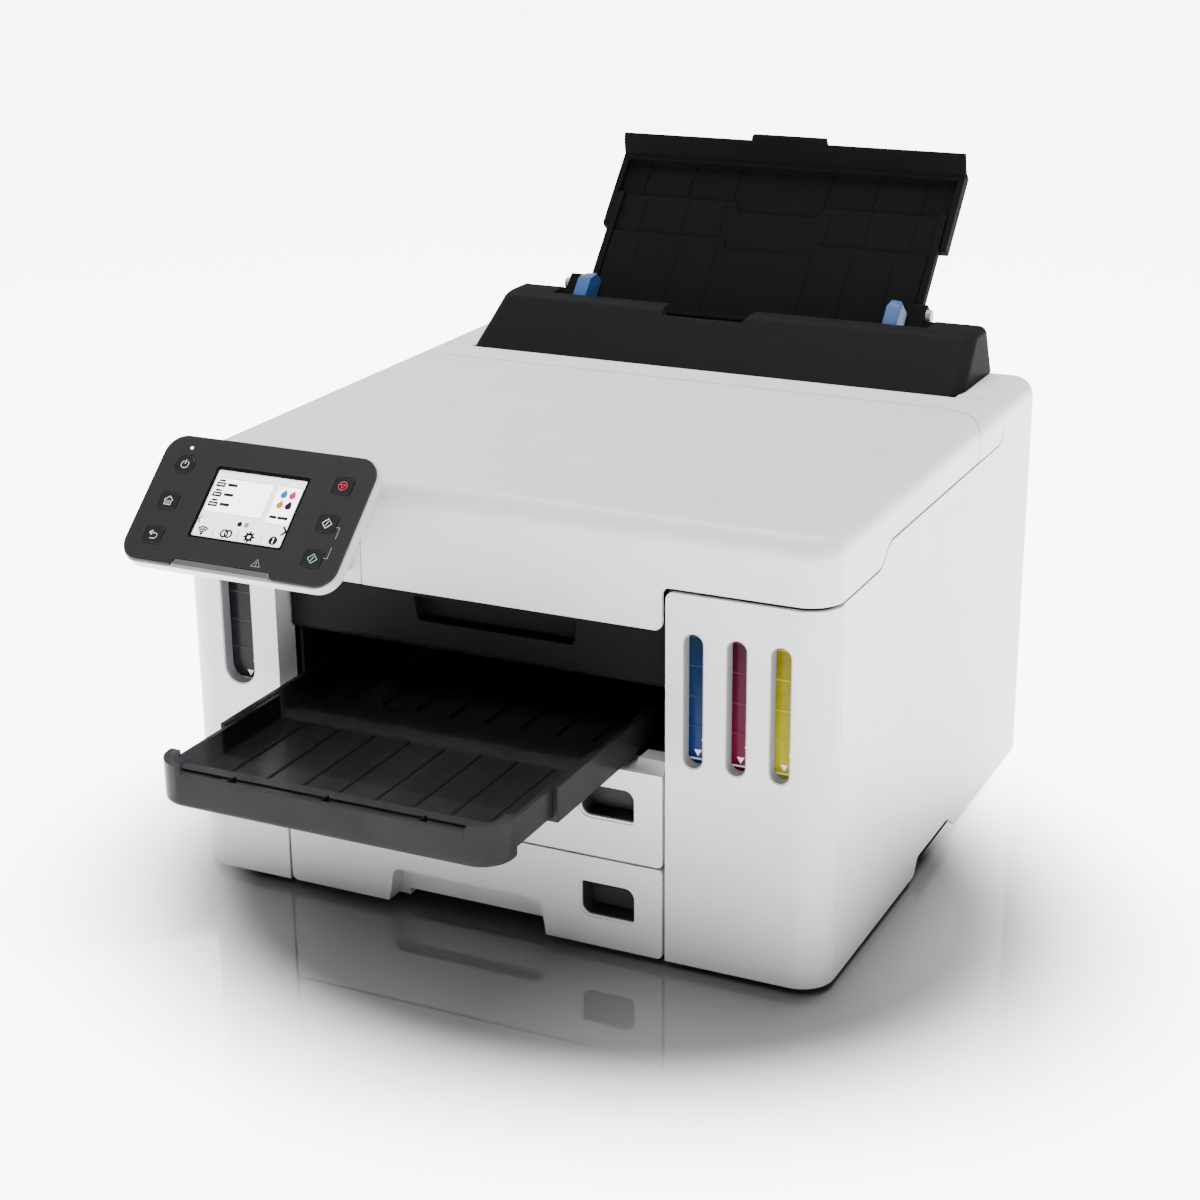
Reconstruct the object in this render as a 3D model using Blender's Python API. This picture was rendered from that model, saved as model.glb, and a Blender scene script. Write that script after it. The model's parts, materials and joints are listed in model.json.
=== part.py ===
"""An office inkjet printer with refillable tanks, two cassettes, a rear feed and a tilting control panel.

The object frame has +X to the right seen from the front, +Y to the back and +Z up.
Shapes are written in millimetres from the body's front face (y = 0), its middle (x = 0) and the
table (z = 0). The empty "printer" carries everything and centres the whole object on its origin.
"""

import math

import bmesh
import bpy
from mathutils import Matrix, Vector

MM = 0.001
GAP = 0.3

# Body
HALF_WIDTH = 199.5
DEPTH = 381.0
TOP = 259.2
BOTTOM = 5.0
WALL = 2.8
FRONT_RADIUS = 19.0
REAR_RADIUS = 15.0
TOP_RADIUS = 12.0

FOOT_X = 170.0
FOOT_RADIUS = 11.0

# Front bay between the tank covers
BAY_LEFT = -134.0
BAY_RIGHT = 106.5
SIDE_SEAM_Y = 18.9
LID_FRONT_LOW = 198.7
LID_RIGHT_LOW = 222.2
SKIRT_LOW = 233.9
LID_REAR = 275.0
LID_SIDE_REAR = 234.5
LID_LEFT = -77.0

# Ink tanks: slot centres on the right, and the wide slot on the left
SLOT_CENTRES = (124.4, 149.0, 173.6)
SLOT_WIDTH = 10.3
SLOT_LOW, SLOT_HIGH = 123.0, 200.0
WIDE_SLOT = (-171.0, -151.6)
TANK_LOW, TANK_HIGH = 113.0, 212.0
TANK_BACK = 84.0

# Cassettes
SPLIT = 60.0
CASSETTE_TOP = 113.0
UPPER_FRONT_TOP = 121.0
FRONT_DEPTH = 20.5
CASSETTE_BACK = 330.0
CASSETTE_WALL = 2.5
HANDLE = (57.0, 89.0)
UPPER_HANDLE_Z = (84.6, 103.0)
LOWER_HANDLE_Z = (24.0, 44.0)
POCKET_DEPTH = 14.0
NOTCH = (-65.0, 34.0)
NOTCH_TOP = 26.0

# Output tray
TRAY_LEFT, TRAY_RIGHT = -118.5, 85.5
TRAY_FRONT = -148.5
TRAY_JOINT = -84.0
EXTENSION_SHOULDER = -129.0
TRAY_BACK = 70.0
TRAY_LOW = 120.0
TRAY_RIM = 140.0

# Print mechanism
ROLLER_Z = 158.0
FEED_Y = 205.0
EXIT_Y = 95.0
PAPER_SIDES = (-126.0, 104.0)
SHAFT_Y, SHAFT_Z = 150.0, 192.0
BELT_Y = 191.0
BELT_Z = 212.0
PULLEY_X = 165.0
PULLEY_RADIUS = 7.0
CARRIAGE_X = 125.0
FRAME_X = 186.0

# Rear feed: hump over the slot and the sloping support
HUMP_HALF = 168.0
HUMP_FRONT = 302.0
HUMP_BACK = 371.0
HUMP_TOP = 289.0
HUMP_TOP_HALF = 160.0
HUMP_TOP_FRONT = 341.0
SUPPORT_Y = 378.0
SUPPORT_TILT = math.radians(41.2)
BASE_END = 46.8
MID_RANGE = (10.0, 77.8)
TOP_RANGE = (51.5, 112.0)
TOP_HALF = 124.0
SUPPORT_BACK = 11.0
GUIDE_CENTRE = -4.0
GUIDE_GAP = 211.0
GUIDE_DEPTH = 16.5

# Control panel, drawn upright around the middle of its face
PANEL_CENTRE = (-119.3, -44.0, 250.0)
PANEL_TILT = math.radians(47.6)
PANEL_SIZE = (135.0, 80.0)
PANEL_RADIUS = 12.0
PANEL_AXIS_BACK = 12.0
PANEL_AXIS_UP = 22.0
PIN_RADIUS = 1.5
KEY_SIZE = (11.5, 10.5)
KEY_X = 50.8
KEY_ROWS = (21.4, -2.3, -24.1)
SCREEN = (-30.0, 30.0, -22.0, 23.8)

REAR_REACH = SUPPORT_Y + TOP_RANGE[1] * math.sin(SUPPORT_TILT)
REAR_REACH += SUPPORT_BACK * math.cos(SUPPORT_TILT)
FRONT_Y = -(REAR_REACH + TRAY_FRONT) / 2

COLOURS = {
    "white_plastic": ((0.80, 0.80, 0.82), 0.45, 0.0),
    "black_plastic": ((0.025, 0.025, 0.028), 0.45, 0.0),
    "gloss_black": ((0.02, 0.02, 0.022), 0.2, 0.0),
    "smoke_plastic": ((0.10, 0.10, 0.11), 0.3, 0.0),
    "grey_plastic": ((0.25, 0.25, 0.26), 0.5, 0.0),
    "blue_plastic": ((0.10, 0.22, 0.48), 0.45, 0.0),
    "rubber": ((0.03, 0.03, 0.03), 0.8, 0.0),
    "steel": ((0.55, 0.56, 0.58), 0.35, 0.9),
    "board_green": ((0.02, 0.20, 0.08), 0.5, 0.0),
    "screen_glass": ((0.75, 0.77, 0.80), 0.1, 0.0),
    "ink_black": ((0.02, 0.02, 0.022), 0.2, 0.0),
    "ink_cyan": ((0.02, 0.06, 0.28), 0.2, 0.0),
    "ink_magenta": ((0.35, 0.01, 0.14), 0.2, 0.0),
    "ink_yellow": ((0.60, 0.55, 0.02), 0.2, 0.0),
}


def clear_scene():
    for obj in list(bpy.data.objects):
        bpy.data.objects.remove(obj, do_unlink=True)


def new_collection(name):
    collection = bpy.data.collections.new(name)
    bpy.context.scene.collection.children.link(collection)
    return collection


def material(name):
    found = bpy.data.materials.get(name)
    if found:
        return found
    colour, roughness, metallic = COLOURS[name]
    made = bpy.data.materials.new(name)
    made.use_nodes = True
    shader = made.node_tree.nodes["Principled BSDF"]
    shader.inputs["Base Color"].default_value = (*colour, 1.0)
    shader.inputs["Roughness"].default_value = roughness
    shader.inputs["Metallic"].default_value = metallic
    made.diffuse_color = (*colour, 1.0)
    return made


def empty(name, place, parent=None, tilt=0.0):
    """A pivot or a frame: an empty at a place in millimetres, leaning back by the tilt."""
    made = bpy.data.objects.new(name, None)
    made.location = Vector(place) * MM
    made.rotation_euler = (-tilt, 0.0, 0.0)
    made.parent = parent
    parts.objects.link(made)
    return made


def block(x, y, z, upright=(), radius=0.0, segments=3, top=0.0):
    """A box between two places on each axis. Upright edges named by their side signs are rounded."""
    bm = bmesh.new()
    bmesh.ops.create_cube(bm, size=1.0)
    size = Vector((x[1] - x[0], y[1] - y[0], z[1] - z[0])) * MM
    middle = Vector((x[0] + x[1], y[0] + y[1], z[0] + z[1])) * MM / 2
    bmesh.ops.scale(bm, vec=size, verts=bm.verts)
    bmesh.ops.translate(bm, vec=middle, verts=bm.verts)
    if upright:
        edges = [edge for edge in bm.edges if upright_side(edge, middle) in upright]
        round_edges(bm, edges, radius, segments)
    if top:
        lid = max(bm.faces, key=lambda face: face.calc_center_median().z)
        round_edges(bm, list(lid.edges), top, segments)
    return bm


def upright_side(edge, middle):
    """The x and y signs of an upright edge seen from the box's middle, or None for a level edge."""
    start, end = (vert.co for vert in edge.verts)
    if abs(start.z - end.z) < MM / 100:
        return None
    return (1 if start.x > middle.x else -1, 1 if start.y > middle.y else -1)


def round_edges(bm, edges, radius, segments):
    bmesh.ops.bevel(
        bm, geom=edges, offset=radius * MM, segments=segments, profile=0.5, affect="EDGES"
    )


FRONT_CORNERS = ((-1, -1), (1, -1))
REAR_CORNERS = ((-1, 1), (1, 1))
ALL_CORNERS = FRONT_CORNERS + REAR_CORNERS


def prism(outline, axis, low, high):
    """A flat outline filled and extruded. It lies in YZ for axis X, in XZ for Y and in XY for Z."""
    curve = bpy.data.curves.new("outline", "CURVE")
    curve.dimensions = "2D"
    curve.fill_mode = "BOTH"
    curve.extrude = (high - low) * MM / 2
    spline = curve.splines.new("POLY")
    spline.points.add(len(outline) - 1)
    for point, (across, up) in zip(spline.points, outline):
        point.co = (across * MM, up * MM, 0.0, 1.0)
    spline.use_cyclic_u = True
    holder = bpy.data.objects.new("outline", curve)
    mesh = bpy.data.meshes.new_from_object(holder)
    bm = bmesh.new()
    bm.from_mesh(mesh)
    bpy.data.meshes.remove(mesh)
    bpy.data.objects.remove(holder)
    bpy.data.curves.remove(curve)
    turns = {
        "X": Matrix(((0, 0, 1), (1, 0, 0), (0, 1, 0))),
        "Y": Matrix(((1, 0, 0), (0, 0, -1), (0, 1, 0))),
        "Z": Matrix.Identity(3),
    }
    middle = (low + high) * MM / 2
    shift = {"X": (middle, 0, 0), "Y": (0, middle, 0), "Z": (0, 0, middle)}[axis]
    bmesh.ops.transform(bm, matrix=turns[axis].to_4x4(), verts=bm.verts)
    bmesh.ops.translate(bm, vec=shift, verts=bm.verts)
    bmesh.ops.remove_doubles(bm, verts=bm.verts, dist=1e-6)
    bmesh.ops.recalc_face_normals(bm, faces=bm.faces)
    return bm


def arc(centre, radius, start, end, steps):
    """Points on an arc, from the start angle to the end angle in degrees."""
    points = []
    for step in range(steps + 1):
        angle = math.radians(start + (end - start) * step / steps)
        across = centre[0] + radius * math.cos(angle)
        up = centre[1] + radius * math.sin(angle)
        points.append((across, up))
    return points


def rounded(left, right, low, high, radius, steps=3):
    """The outline of a rectangle with rounded corners, anticlockwise."""
    return (
        arc((right - radius, low + radius), radius, -90, 0, steps)
        + arc((right - radius, high - radius), radius, 0, 90, steps)
        + arc((left + radius, high - radius), radius, 90, 180, steps)
        + arc((left + radius, low + radius), radius, 180, 270, steps)
    )


def rod(axis, centre, radius, low, high, sides=16):
    """A cylinder along an axis. The centre is the pair of the other two coordinates, in XYZ order."""
    bm = bmesh.new()
    bmesh.ops.create_cone(
        bm,
        cap_ends=True,
        segments=sides,
        radius1=radius * MM,
        radius2=radius * MM,
        depth=(high - low) * MM,
    )
    middle = (low + high) / 2
    turn = {
        "X": Matrix.Rotation(math.pi / 2, 4, "Y"),
        "Y": Matrix.Rotation(math.pi / 2, 4, "X"),
        "Z": Matrix.Identity(4),
    }[axis]
    place = {
        "X": (middle, centre[0], centre[1]),
        "Y": (centre[0], middle, centre[1]),
        "Z": (centre[0], centre[1], middle),
    }[axis]
    bmesh.ops.transform(bm, matrix=turn, verts=bm.verts)
    bmesh.ops.translate(bm, vec=Vector(place) * MM, verts=bm.verts)
    return bm


def helper(name, bm, parent):
    """A hidden shape that a Boolean reads."""
    mesh = bpy.data.meshes.new(name)
    bm.to_mesh(mesh)
    bm.free()
    made = bpy.data.objects.new(name, mesh)
    made.parent = parent
    made.hide_render = True
    made.display_type = "WIRE"
    cutters.objects.link(made)
    return made


def part(name, bm, finish, parent, pivot=(0.0, 0.0, 0.0), keep=(), add=(), cut=()):
    """One sub-part: a shape, kept inside some shapes, joined with some and cut by others."""
    mesh = bpy.data.meshes.new(name)
    bmesh.ops.translate(bm, vec=-Vector(pivot) * MM, verts=bm.verts)
    bm.to_mesh(mesh)
    bm.free()
    made = bpy.data.objects.new(name, mesh)
    made.location = Vector(pivot) * MM
    made.parent = parent
    parts.objects.link(made)
    mesh.materials.append(material(finish))
    steps = [("INTERSECT", shape) for shape in keep]
    steps += [("UNION", shape) for shape in add]
    steps += [("DIFFERENCE", shape) for shape in cut]
    for number, (operation, shape) in enumerate(steps):
        modifier = made.modifiers.new(f"{operation.lower()}_{number}", "BOOLEAN")
        modifier.operation = operation
        modifier.solver = "EXACT"
        modifier.object = helper(f"{name}_{operation.lower()}_{number}", shape, parent)
    mesh.shade_smooth()
    mesh.set_sharp_from_angle(angle=math.radians(35))
    return made


# ---------------------------------------------------------------- body shells


def body_outside():
    bm = block((-HALF_WIDTH, HALF_WIDTH), (0, DEPTH), (BOTTOM, TOP), FRONT_CORNERS, FRONT_RADIUS, 4)
    rear = [edge for edge in bm.edges if upright_rear(edge)]
    round_edges(bm, rear, REAR_RADIUS, 3)
    lid = max(bm.faces, key=lambda face: face.calc_center_median().z)
    round_edges(bm, list(lid.edges), TOP_RADIUS, 3)
    return bm


def upright_rear(edge):
    start, end = (vert.co for vert in edge.verts)
    return abs(start.z - end.z) > MM and start.y > (DEPTH - 1) * MM


def body_inside():
    side = HALF_WIDTH - WALL
    radius = FRONT_RADIUS - WALL
    return block(
        (-side, side),
        (WALL, DEPTH - WALL),
        (BOTTOM - 10, TOP - WALL),
        ALL_CORNERS,
        radius,
        3,
        TOP_RADIUS - WALL,
    )


def slot_outline(left, right, low, high):
    return rounded(left, right, low, high, (right - left) / 2 - 0.01, 4)


def right_tank_cover(body):
    slots = [
        prism(
            slot_outline(x - SLOT_WIDTH / 2, x + SLOT_WIDTH / 2, SLOT_LOW, SLOT_HIGH), "Y", -2, 6
        )
        for x in SLOT_CENTRES
    ]
    left = BAY_RIGHT + GAP
    top = LID_RIGHT_LOW - GAP
    part(
        "right_tank_cover",
        body_outside(),
        "white_plastic",
        body,
        keep=[block((left, 201), (-1, SIDE_SEAM_Y), (4, top))],
        add=[block((left, left + 2.5), (1.5, 13.5), (BOTTOM, top))],
        cut=[body_inside_cut((left + 2.5, 220)), *slots],
    )


def body_inside_cut(x):
    """The hollow behind a front cover, limited in x so that the cover keeps its return wall."""
    side = HALF_WIDTH - WALL
    corners = ((1, -1),) if x[0] > 0 else ((-1, -1),)
    low, high = max(x[0], -side), min(x[1], side)
    return block((low, high), (WALL, 30), (0, 250), corners, FRONT_RADIUS - WALL, 4)


def left_tank_cover(body):
    right = BAY_LEFT - GAP
    top = SKIRT_LOW - GAP
    part(
        "left_tank_cover",
        body_outside(),
        "white_plastic",
        body,
        keep=[block((-201, right), (-1, SIDE_SEAM_Y), (4, top))],
        add=[block((right - 2.5, right), (1.5, 13.5), (BOTTOM, LID_FRONT_LOW - 1))],
        cut=[
            body_inside_cut((-220, right - 2.5)),
            prism(slot_outline(*WIDE_SLOT, 125, 205), "Y", -2, 6),
        ],
    )


def seam_outline(front_low):
    """What lies above the seam of a side shell, in YZ: the lid's skirt, then the rear top cover."""
    step = [(74, LID_RIGHT_LOW), (79, LID_RIGHT_LOW + 1.6), (84, (LID_RIGHT_LOW + SKIRT_LOW) / 2)]
    step += [(89, SKIRT_LOW - 1.6), (94, SKIRT_LOW)]
    start = [(10, front_low)] + (step if front_low < SKIRT_LOW else [])
    corner = arc((295, SKIRT_LOW + 10), 10, -90, 0, 3)
    return start + corner + [(305, TOP + 5), (10, TOP + 5)]


def side_shell(name, body, side, front_low):
    far, near = side * 202, side * (HUMP_HALF + GAP)
    x = (min(far, near), max(far, near))
    notch = [(150, 0), (157, BOTTOM), (163, 15), (222, 15), (236, BOTTOM), (240, 0)]
    part(
        name,
        body_outside(),
        "white_plastic",
        body,
        keep=[block(x, (SIDE_SEAM_Y + GAP, DEPTH + 2), (4, TOP + 2))],
        cut=[
            body_inside(),
            prism(seam_outline(front_low), "X", *x),
            prism(notch, "X", *x),
        ],
    )


def lid_outline(grow):
    """The lid seen from above, with its rear corners curving to the sides; grown by the seam."""
    rear = LID_REAR + grow
    side = LID_SIDE_REAR + grow
    corner = []
    for step in range(6):
        angle = math.radians(90 * step / 5)
        across = 162 + 42 * math.cos(angle)
        corner.append((across, side + (rear - side) * math.sin(angle)))
    mirrored = [(-across, y) for across, y in reversed(corner)]
    return [(204, -3)] + corner + mirrored + [(-204, -3)]


def top_cover(body):
    """The lid is hinged on the seam line at its rear edge."""
    hinge = empty("top_cover_axis", (0, LID_REAR, TOP), body)
    shift = Vector((0, -LID_REAR, -TOP)) * MM
    shapes = {
        "keep": [prism(lid_outline(-GAP), "Z", LID_FRONT_LOW, TOP + 2)],
        "add": [goose_neck(x) for x in (-121, 121)],
        "cut": [
            block((-204, 204), (WALL + 0.2, 290), (180, SKIRT_LOW - 15)),
            block((-204, LID_LEFT), (-3, 12), (180, SKIRT_LOW + GAP)),
            block((-204, BAY_RIGHT + 60), (WALL + 0.2, 290), (210, SKIRT_LOW + GAP)),
            prism(right_skirt_cut(), "X", BAY_RIGHT, 204),
        ],
    }
    lid = body_outside()
    moved = {
        key: [shifted(shape, shift) for shape in shape_list] for key, shape_list in shapes.items()
    }
    hollow = shifted(body_inside(), shift)
    made = part("top_cover", shifted(lid, shift), "white_plastic", hinge, keep=moved["keep"])
    for number, shape in enumerate([hollow] + moved["cut"]):
        boolean(made, "DIFFERENCE", shape, f"cut_{number}")
    for number, shape in enumerate(moved["add"]):
        boolean(made, "UNION", shape, f"arm_{number}")


def shifted(bm, shift):
    bmesh.ops.translate(bm, vec=shift, verts=bm.verts)
    return bm


def boolean(made, operation, bm, label):
    modifier = made.modifiers.new(label, "BOOLEAN")
    modifier.operation = operation
    modifier.solver = "EXACT"
    modifier.object = helper(f"{made.name}_{label}", bm, made.parent)


def right_skirt_cut():
    """What is cut away below the lid's right skirt, in YZ."""
    low, high = LID_RIGHT_LOW + GAP, SKIRT_LOW + GAP
    rise = [(73.8, low), (78.8, low + 1.6), (83.8, (low + high) / 2), (88.8, high - 1.6)]
    return [(-3, low)] + rise + [(93.8, high), (300, high), (300, 180), (-3, 180)]


def goose_neck(x):
    """A hinge arm that hangs under the lid's rear edge and reaches back under the rear cover."""
    outline = [(256, 257), (266, 257), (270, 249), (288, 249), (288, 239), (262, 239), (256, 246)]
    return prism(outline, "X", x - 3, x + 3)


def rear_top_cover(body):
    low = SKIRT_LOW + GAP
    corner = arc((294.7, low + 10), 10 - GAP, -90, 0, 3)
    band = [(225, low + 0.3)] + corner + [(304.4, TOP + 3), (225, TOP + 3)]
    part(
        "rear_top_cover",
        body_outside(),
        "white_plastic",
        body,
        keep=[prism(band, "X", -202, 202)],
        cut=[
            body_inside(),
            prism(lid_outline(GAP), "Z", 220, TOP + 3),
            block((-HUMP_HALF - GAP, HUMP_HALF + GAP), (HUMP_FRONT - GAP, 320), (220, TOP + 3)),
        ],
    )


def rear_panel(body):
    half = HUMP_HALF
    part(
        "rear_panel",
        body_outside(),
        "white_plastic",
        body,
        keep=[block((-half, half), (HUMP_BACK + GAP, DEPTH + 2), (4, TOP))],
        cut=[
            block((-half - 5, half + 5), (300, DEPTH - WALL), (0, 250)),
            block((-120.3, 105.3), (365, 390), (59.7, 200.3)),
            block((119.7, 148.3), (365, 390), (24.7, 46.3)),
        ],
    )


def rear_cover(body):
    """The jam-clearing cover at the back, hinged on its lower outer edge."""
    pivot = (0, DEPTH, 60)
    part(
        "rear_cover",
        block((-120, 105), (DEPTH - WALL, DEPTH), (60, 200)),
        "black_plastic",
        body,
        pivot,
        cut=[
            prism(rounded(-40, 25, 168, 184, 6), "Y", DEPTH - 1.5, DEPTH + 2),
        ],
    )


def base_plate(body):
    part(
        "base_plate",
        block((-195, 195), (20, 371), (5.2, 8), REAR_CORNERS, 14),
        "black_plastic",
        body,
        cut=[block((BAY_LEFT, BAY_RIGHT), (10, 26), (4, 10))],
    )


def feet(body):
    for place, y in (("front", 40), ("rear", 345)):
        for side, x in (("left", -FOOT_X), ("right", FOOT_X)):
            foot = rod("Z", (x, y), FOOT_RADIUS, 0, 4.9, 20)
            part(f"{place}_{side}_foot", foot, "rubber", body)


# ---------------------------------------------------------------- front bay


def ink_tank(name, x, finish, body, cap_x):
    """A translucent tank with a filler neck and its cap on top."""
    part(
        name,
        block(x, (5.5, TANK_BACK), (TANK_LOW, TANK_HIGH), ALL_CORNERS, 3, 2),
        finish,
        body,
        add=[
            rod("Z", (cap_x, 58), 8, TANK_HIGH - 1, TANK_HIGH + 5, 12),
            block((cap_x - 3, cap_x + 3), (50, 66), (TANK_HIGH + 4, TANK_HIGH + 8)),
        ],
    )


def ink_tanks(body):
    for name, finish, x in zip(
        ("cyan_ink_tank", "magenta_ink_tank", "yellow_ink_tank"),
        ("ink_cyan", "ink_magenta", "ink_yellow"),
        SLOT_CENTRES,
    ):
        ink_tank(name, (x - 10.8, x + 10.8), finish, body, x)
    middle = sum(WIDE_SLOT) / 2
    ink_tank("black_ink_tank", (middle - 21, middle + 21), "ink_black", body, middle)


def front_fascia(body):
    left, right = BAY_LEFT + GAP, BAY_RIGHT - GAP
    part(
        "front_fascia",
        block((left, right), (14, 28), (160, LID_FRONT_LOW - 0.5)),
        "gloss_black",
        body,
        cut=[
            prism(rounded(-51, 48, 177, 190, 5), "Y", 10, 24),
            block((left + 3, -55), (17, 32), (163, 190)),
            block((52, right - 3), (17, 32), (163, 190)),
        ],
    )


def output_duct(body):
    left, right = BAY_LEFT + 0.6, BAY_RIGHT - 0.6
    part(
        "output_duct",
        block((left, right), (29, 88), (114.5, 158)),
        "black_plastic",
        body,
        add=[
            block((left, left + 2.2), (21, 40), (122, 158)),
            block((right - 2.2, right), (21, 40), (122, 158)),
        ],
        cut=[block((left + 2.2, right - 2.2), (10, 120), (116.5, 170))],
    )


def panel_bracket(body):
    """A flush plate beside the lid with two arms that carry the panel's hinge pin."""
    axis = panel_axis()
    left, right = BAY_LEFT + GAP, LID_LEFT - GAP
    arm = [(1.5, 206), (1.5, 228), (-10, 244), (axis[1] + 4.4, axis[2])]
    arm += arc(axis[1:], 4.4, 30, 180, 5)
    arm += [(axis[1] - 4.0, axis[2] - 6), (-15, 228), (-6, 206)]
    part(
        "panel_bracket",
        block((left, right), (0, 16), (LID_FRONT_LOW, SKIRT_LOW - GAP)),
        "white_plastic",
        body,
        add=[
            prism(arm, "X", -130, -121),
            prism(arm, "X", -93, -84),
            rod("X", axis[1:], PIN_RADIUS, -129, -85, 12),
        ],
        cut=[block((left + 2.5, right - 2.5), (WALL, 20), (LID_FRONT_LOW + 2.5, SKIRT_LOW + 5))],
    )


def panel_axis():
    """The panel's hinge axis, behind the face and above its middle."""
    x, y, z = PANEL_CENTRE
    up = Vector((0, math.sin(PANEL_TILT), math.cos(PANEL_TILT)))
    back = Vector((0, math.cos(PANEL_TILT), -math.sin(PANEL_TILT)))
    place = Vector((x, y, z)) + up * PANEL_AXIS_UP + back * PANEL_AXIS_BACK
    return tuple(place)


def cassette(label, body, low, high, handle_z, has_notch):
    """A drawer: a white front with a handle pocket, and the paper tray behind it."""
    slide = empty(f"{label}_cassette_slide", (0, 0, 0), body)
    left, right = BAY_LEFT + GAP, BAY_RIGHT - GAP
    pocket = rounded(*HANDLE, *handle_z, 4)
    cuts = [
        prism(pocket, "Y", -2, POCKET_DEPTH),
        block((left + 2.5, -68), (WALL, FRONT_DEPTH + 1), (low + 2.5, high - 3)),
        block((95, right - 2.5), (WALL, FRONT_DEPTH + 1), (low + 2.5, high - 3)),
    ]
    if has_notch:
        notch = [(-70, 0), (-65, 12), (-63, NOTCH_TOP), (32, NOTCH_TOP), (34, 12), (36, 0)]
        cuts.append(prism(notch, "Y", -2, 12))
        cuts.append(block((-65, 34), (15, FRONT_DEPTH + 1), (low + 5, high - 3)))
        cuts.append(block((-60, 30), (11, FRONT_DEPTH + 1), (0, low + 4)))
    else:
        slope = [(-1, high - 5), (1.2, high - 5), (7, high + 0.1), (7, high + 4), (-1, high + 4)]
        cuts.append(prism(slope, "X", left - 2, right + 2))
        cuts.append(block((-127, 97), (-2, 25), (high - 4.5, high + 5)))
        cuts.append(block((-65, 34), (WALL, FRONT_DEPTH + 1), (low + 2.5, high - 8)))
    part(
        f"{label}_cassette_front",
        block((left, right), (0, FRONT_DEPTH), (low, high)),
        "white_plastic",
        slide,
        cut=cuts,
    )
    tray_low = max(low + 3.5, 9)
    tray_high = min(high - 4, CASSETTE_TOP - 0.6)
    wall = CASSETTE_WALL
    part(
        f"{label}_cassette_tray",
        block((left + 2, right - 2), (FRONT_DEPTH + GAP, CASSETTE_BACK), (tray_low, tray_high)),
        "black_plastic",
        slide,
        cut=[
            block(
                (left + 2 + wall, right - 2 - wall),
                (FRONT_DEPTH + GAP + wall, CASSETTE_BACK - wall),
                (tray_low + wall, tray_high + 5),
            )
        ],
    )


def cassettes(body):
    cassette("upper", body, SPLIT + GAP, UPPER_FRONT_TOP, UPPER_HANDLE_Z, False)
    cassette("lower", body, BOTTOM, SPLIT - GAP, LOWER_HANDLE_Z, True)


def output_tray(body):
    """The main tray slides in the body, and its extension slides inside the main tray."""
    slide = empty("output_tray_slide", (0, 0, 0), body)
    part(
        "output_tray",
        block((TRAY_LEFT, TRAY_RIGHT), (TRAY_JOINT, TRAY_BACK), (TRAY_LOW, TRAY_RIM)),
        "smoke_plastic",
        slide,
        cut=[
            block(
                (TRAY_LEFT + 3, TRAY_RIGHT - 3),
                (TRAY_JOINT - 5, TRAY_BACK + 5),
                (TRAY_LOW + 2.6, TRAY_RIM + 5),
            )
        ],
    )
    extension = empty("output_extension_slide", (0, 0, 0), slide)
    left, right = TRAY_LEFT + 3.4, TRAY_RIGHT - 3.4
    wall = 2.6
    part(
        "output_tray_extension",
        block(
            (TRAY_LEFT, TRAY_RIGHT),
            (TRAY_FRONT, EXTENSION_SHOULDER),
            (TRAY_LOW, TRAY_RIM + 3),
            FRONT_CORNERS,
            18,
            4,
        ),
        "smoke_plastic",
        extension,
        add=[block((left, right), (EXTENSION_SHOULDER - 4, -34), (TRAY_LOW + 3, TRAY_RIM - 1))],
        cut=[
            block(
                (left + wall, right - wall),
                (TRAY_FRONT + wall, 0),
                (TRAY_LOW + 5.4, TRAY_RIM + 10),
                FRONT_CORNERS,
                14,
                3,
            ),
            block((-95.5, 62.5), (TRAY_FRONT - 2, TRAY_FRONT + 5), (TRAY_RIM - 1, TRAY_RIM + 10)),
        ],
    )


# ---------------------------------------------------------------- control panel


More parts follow.
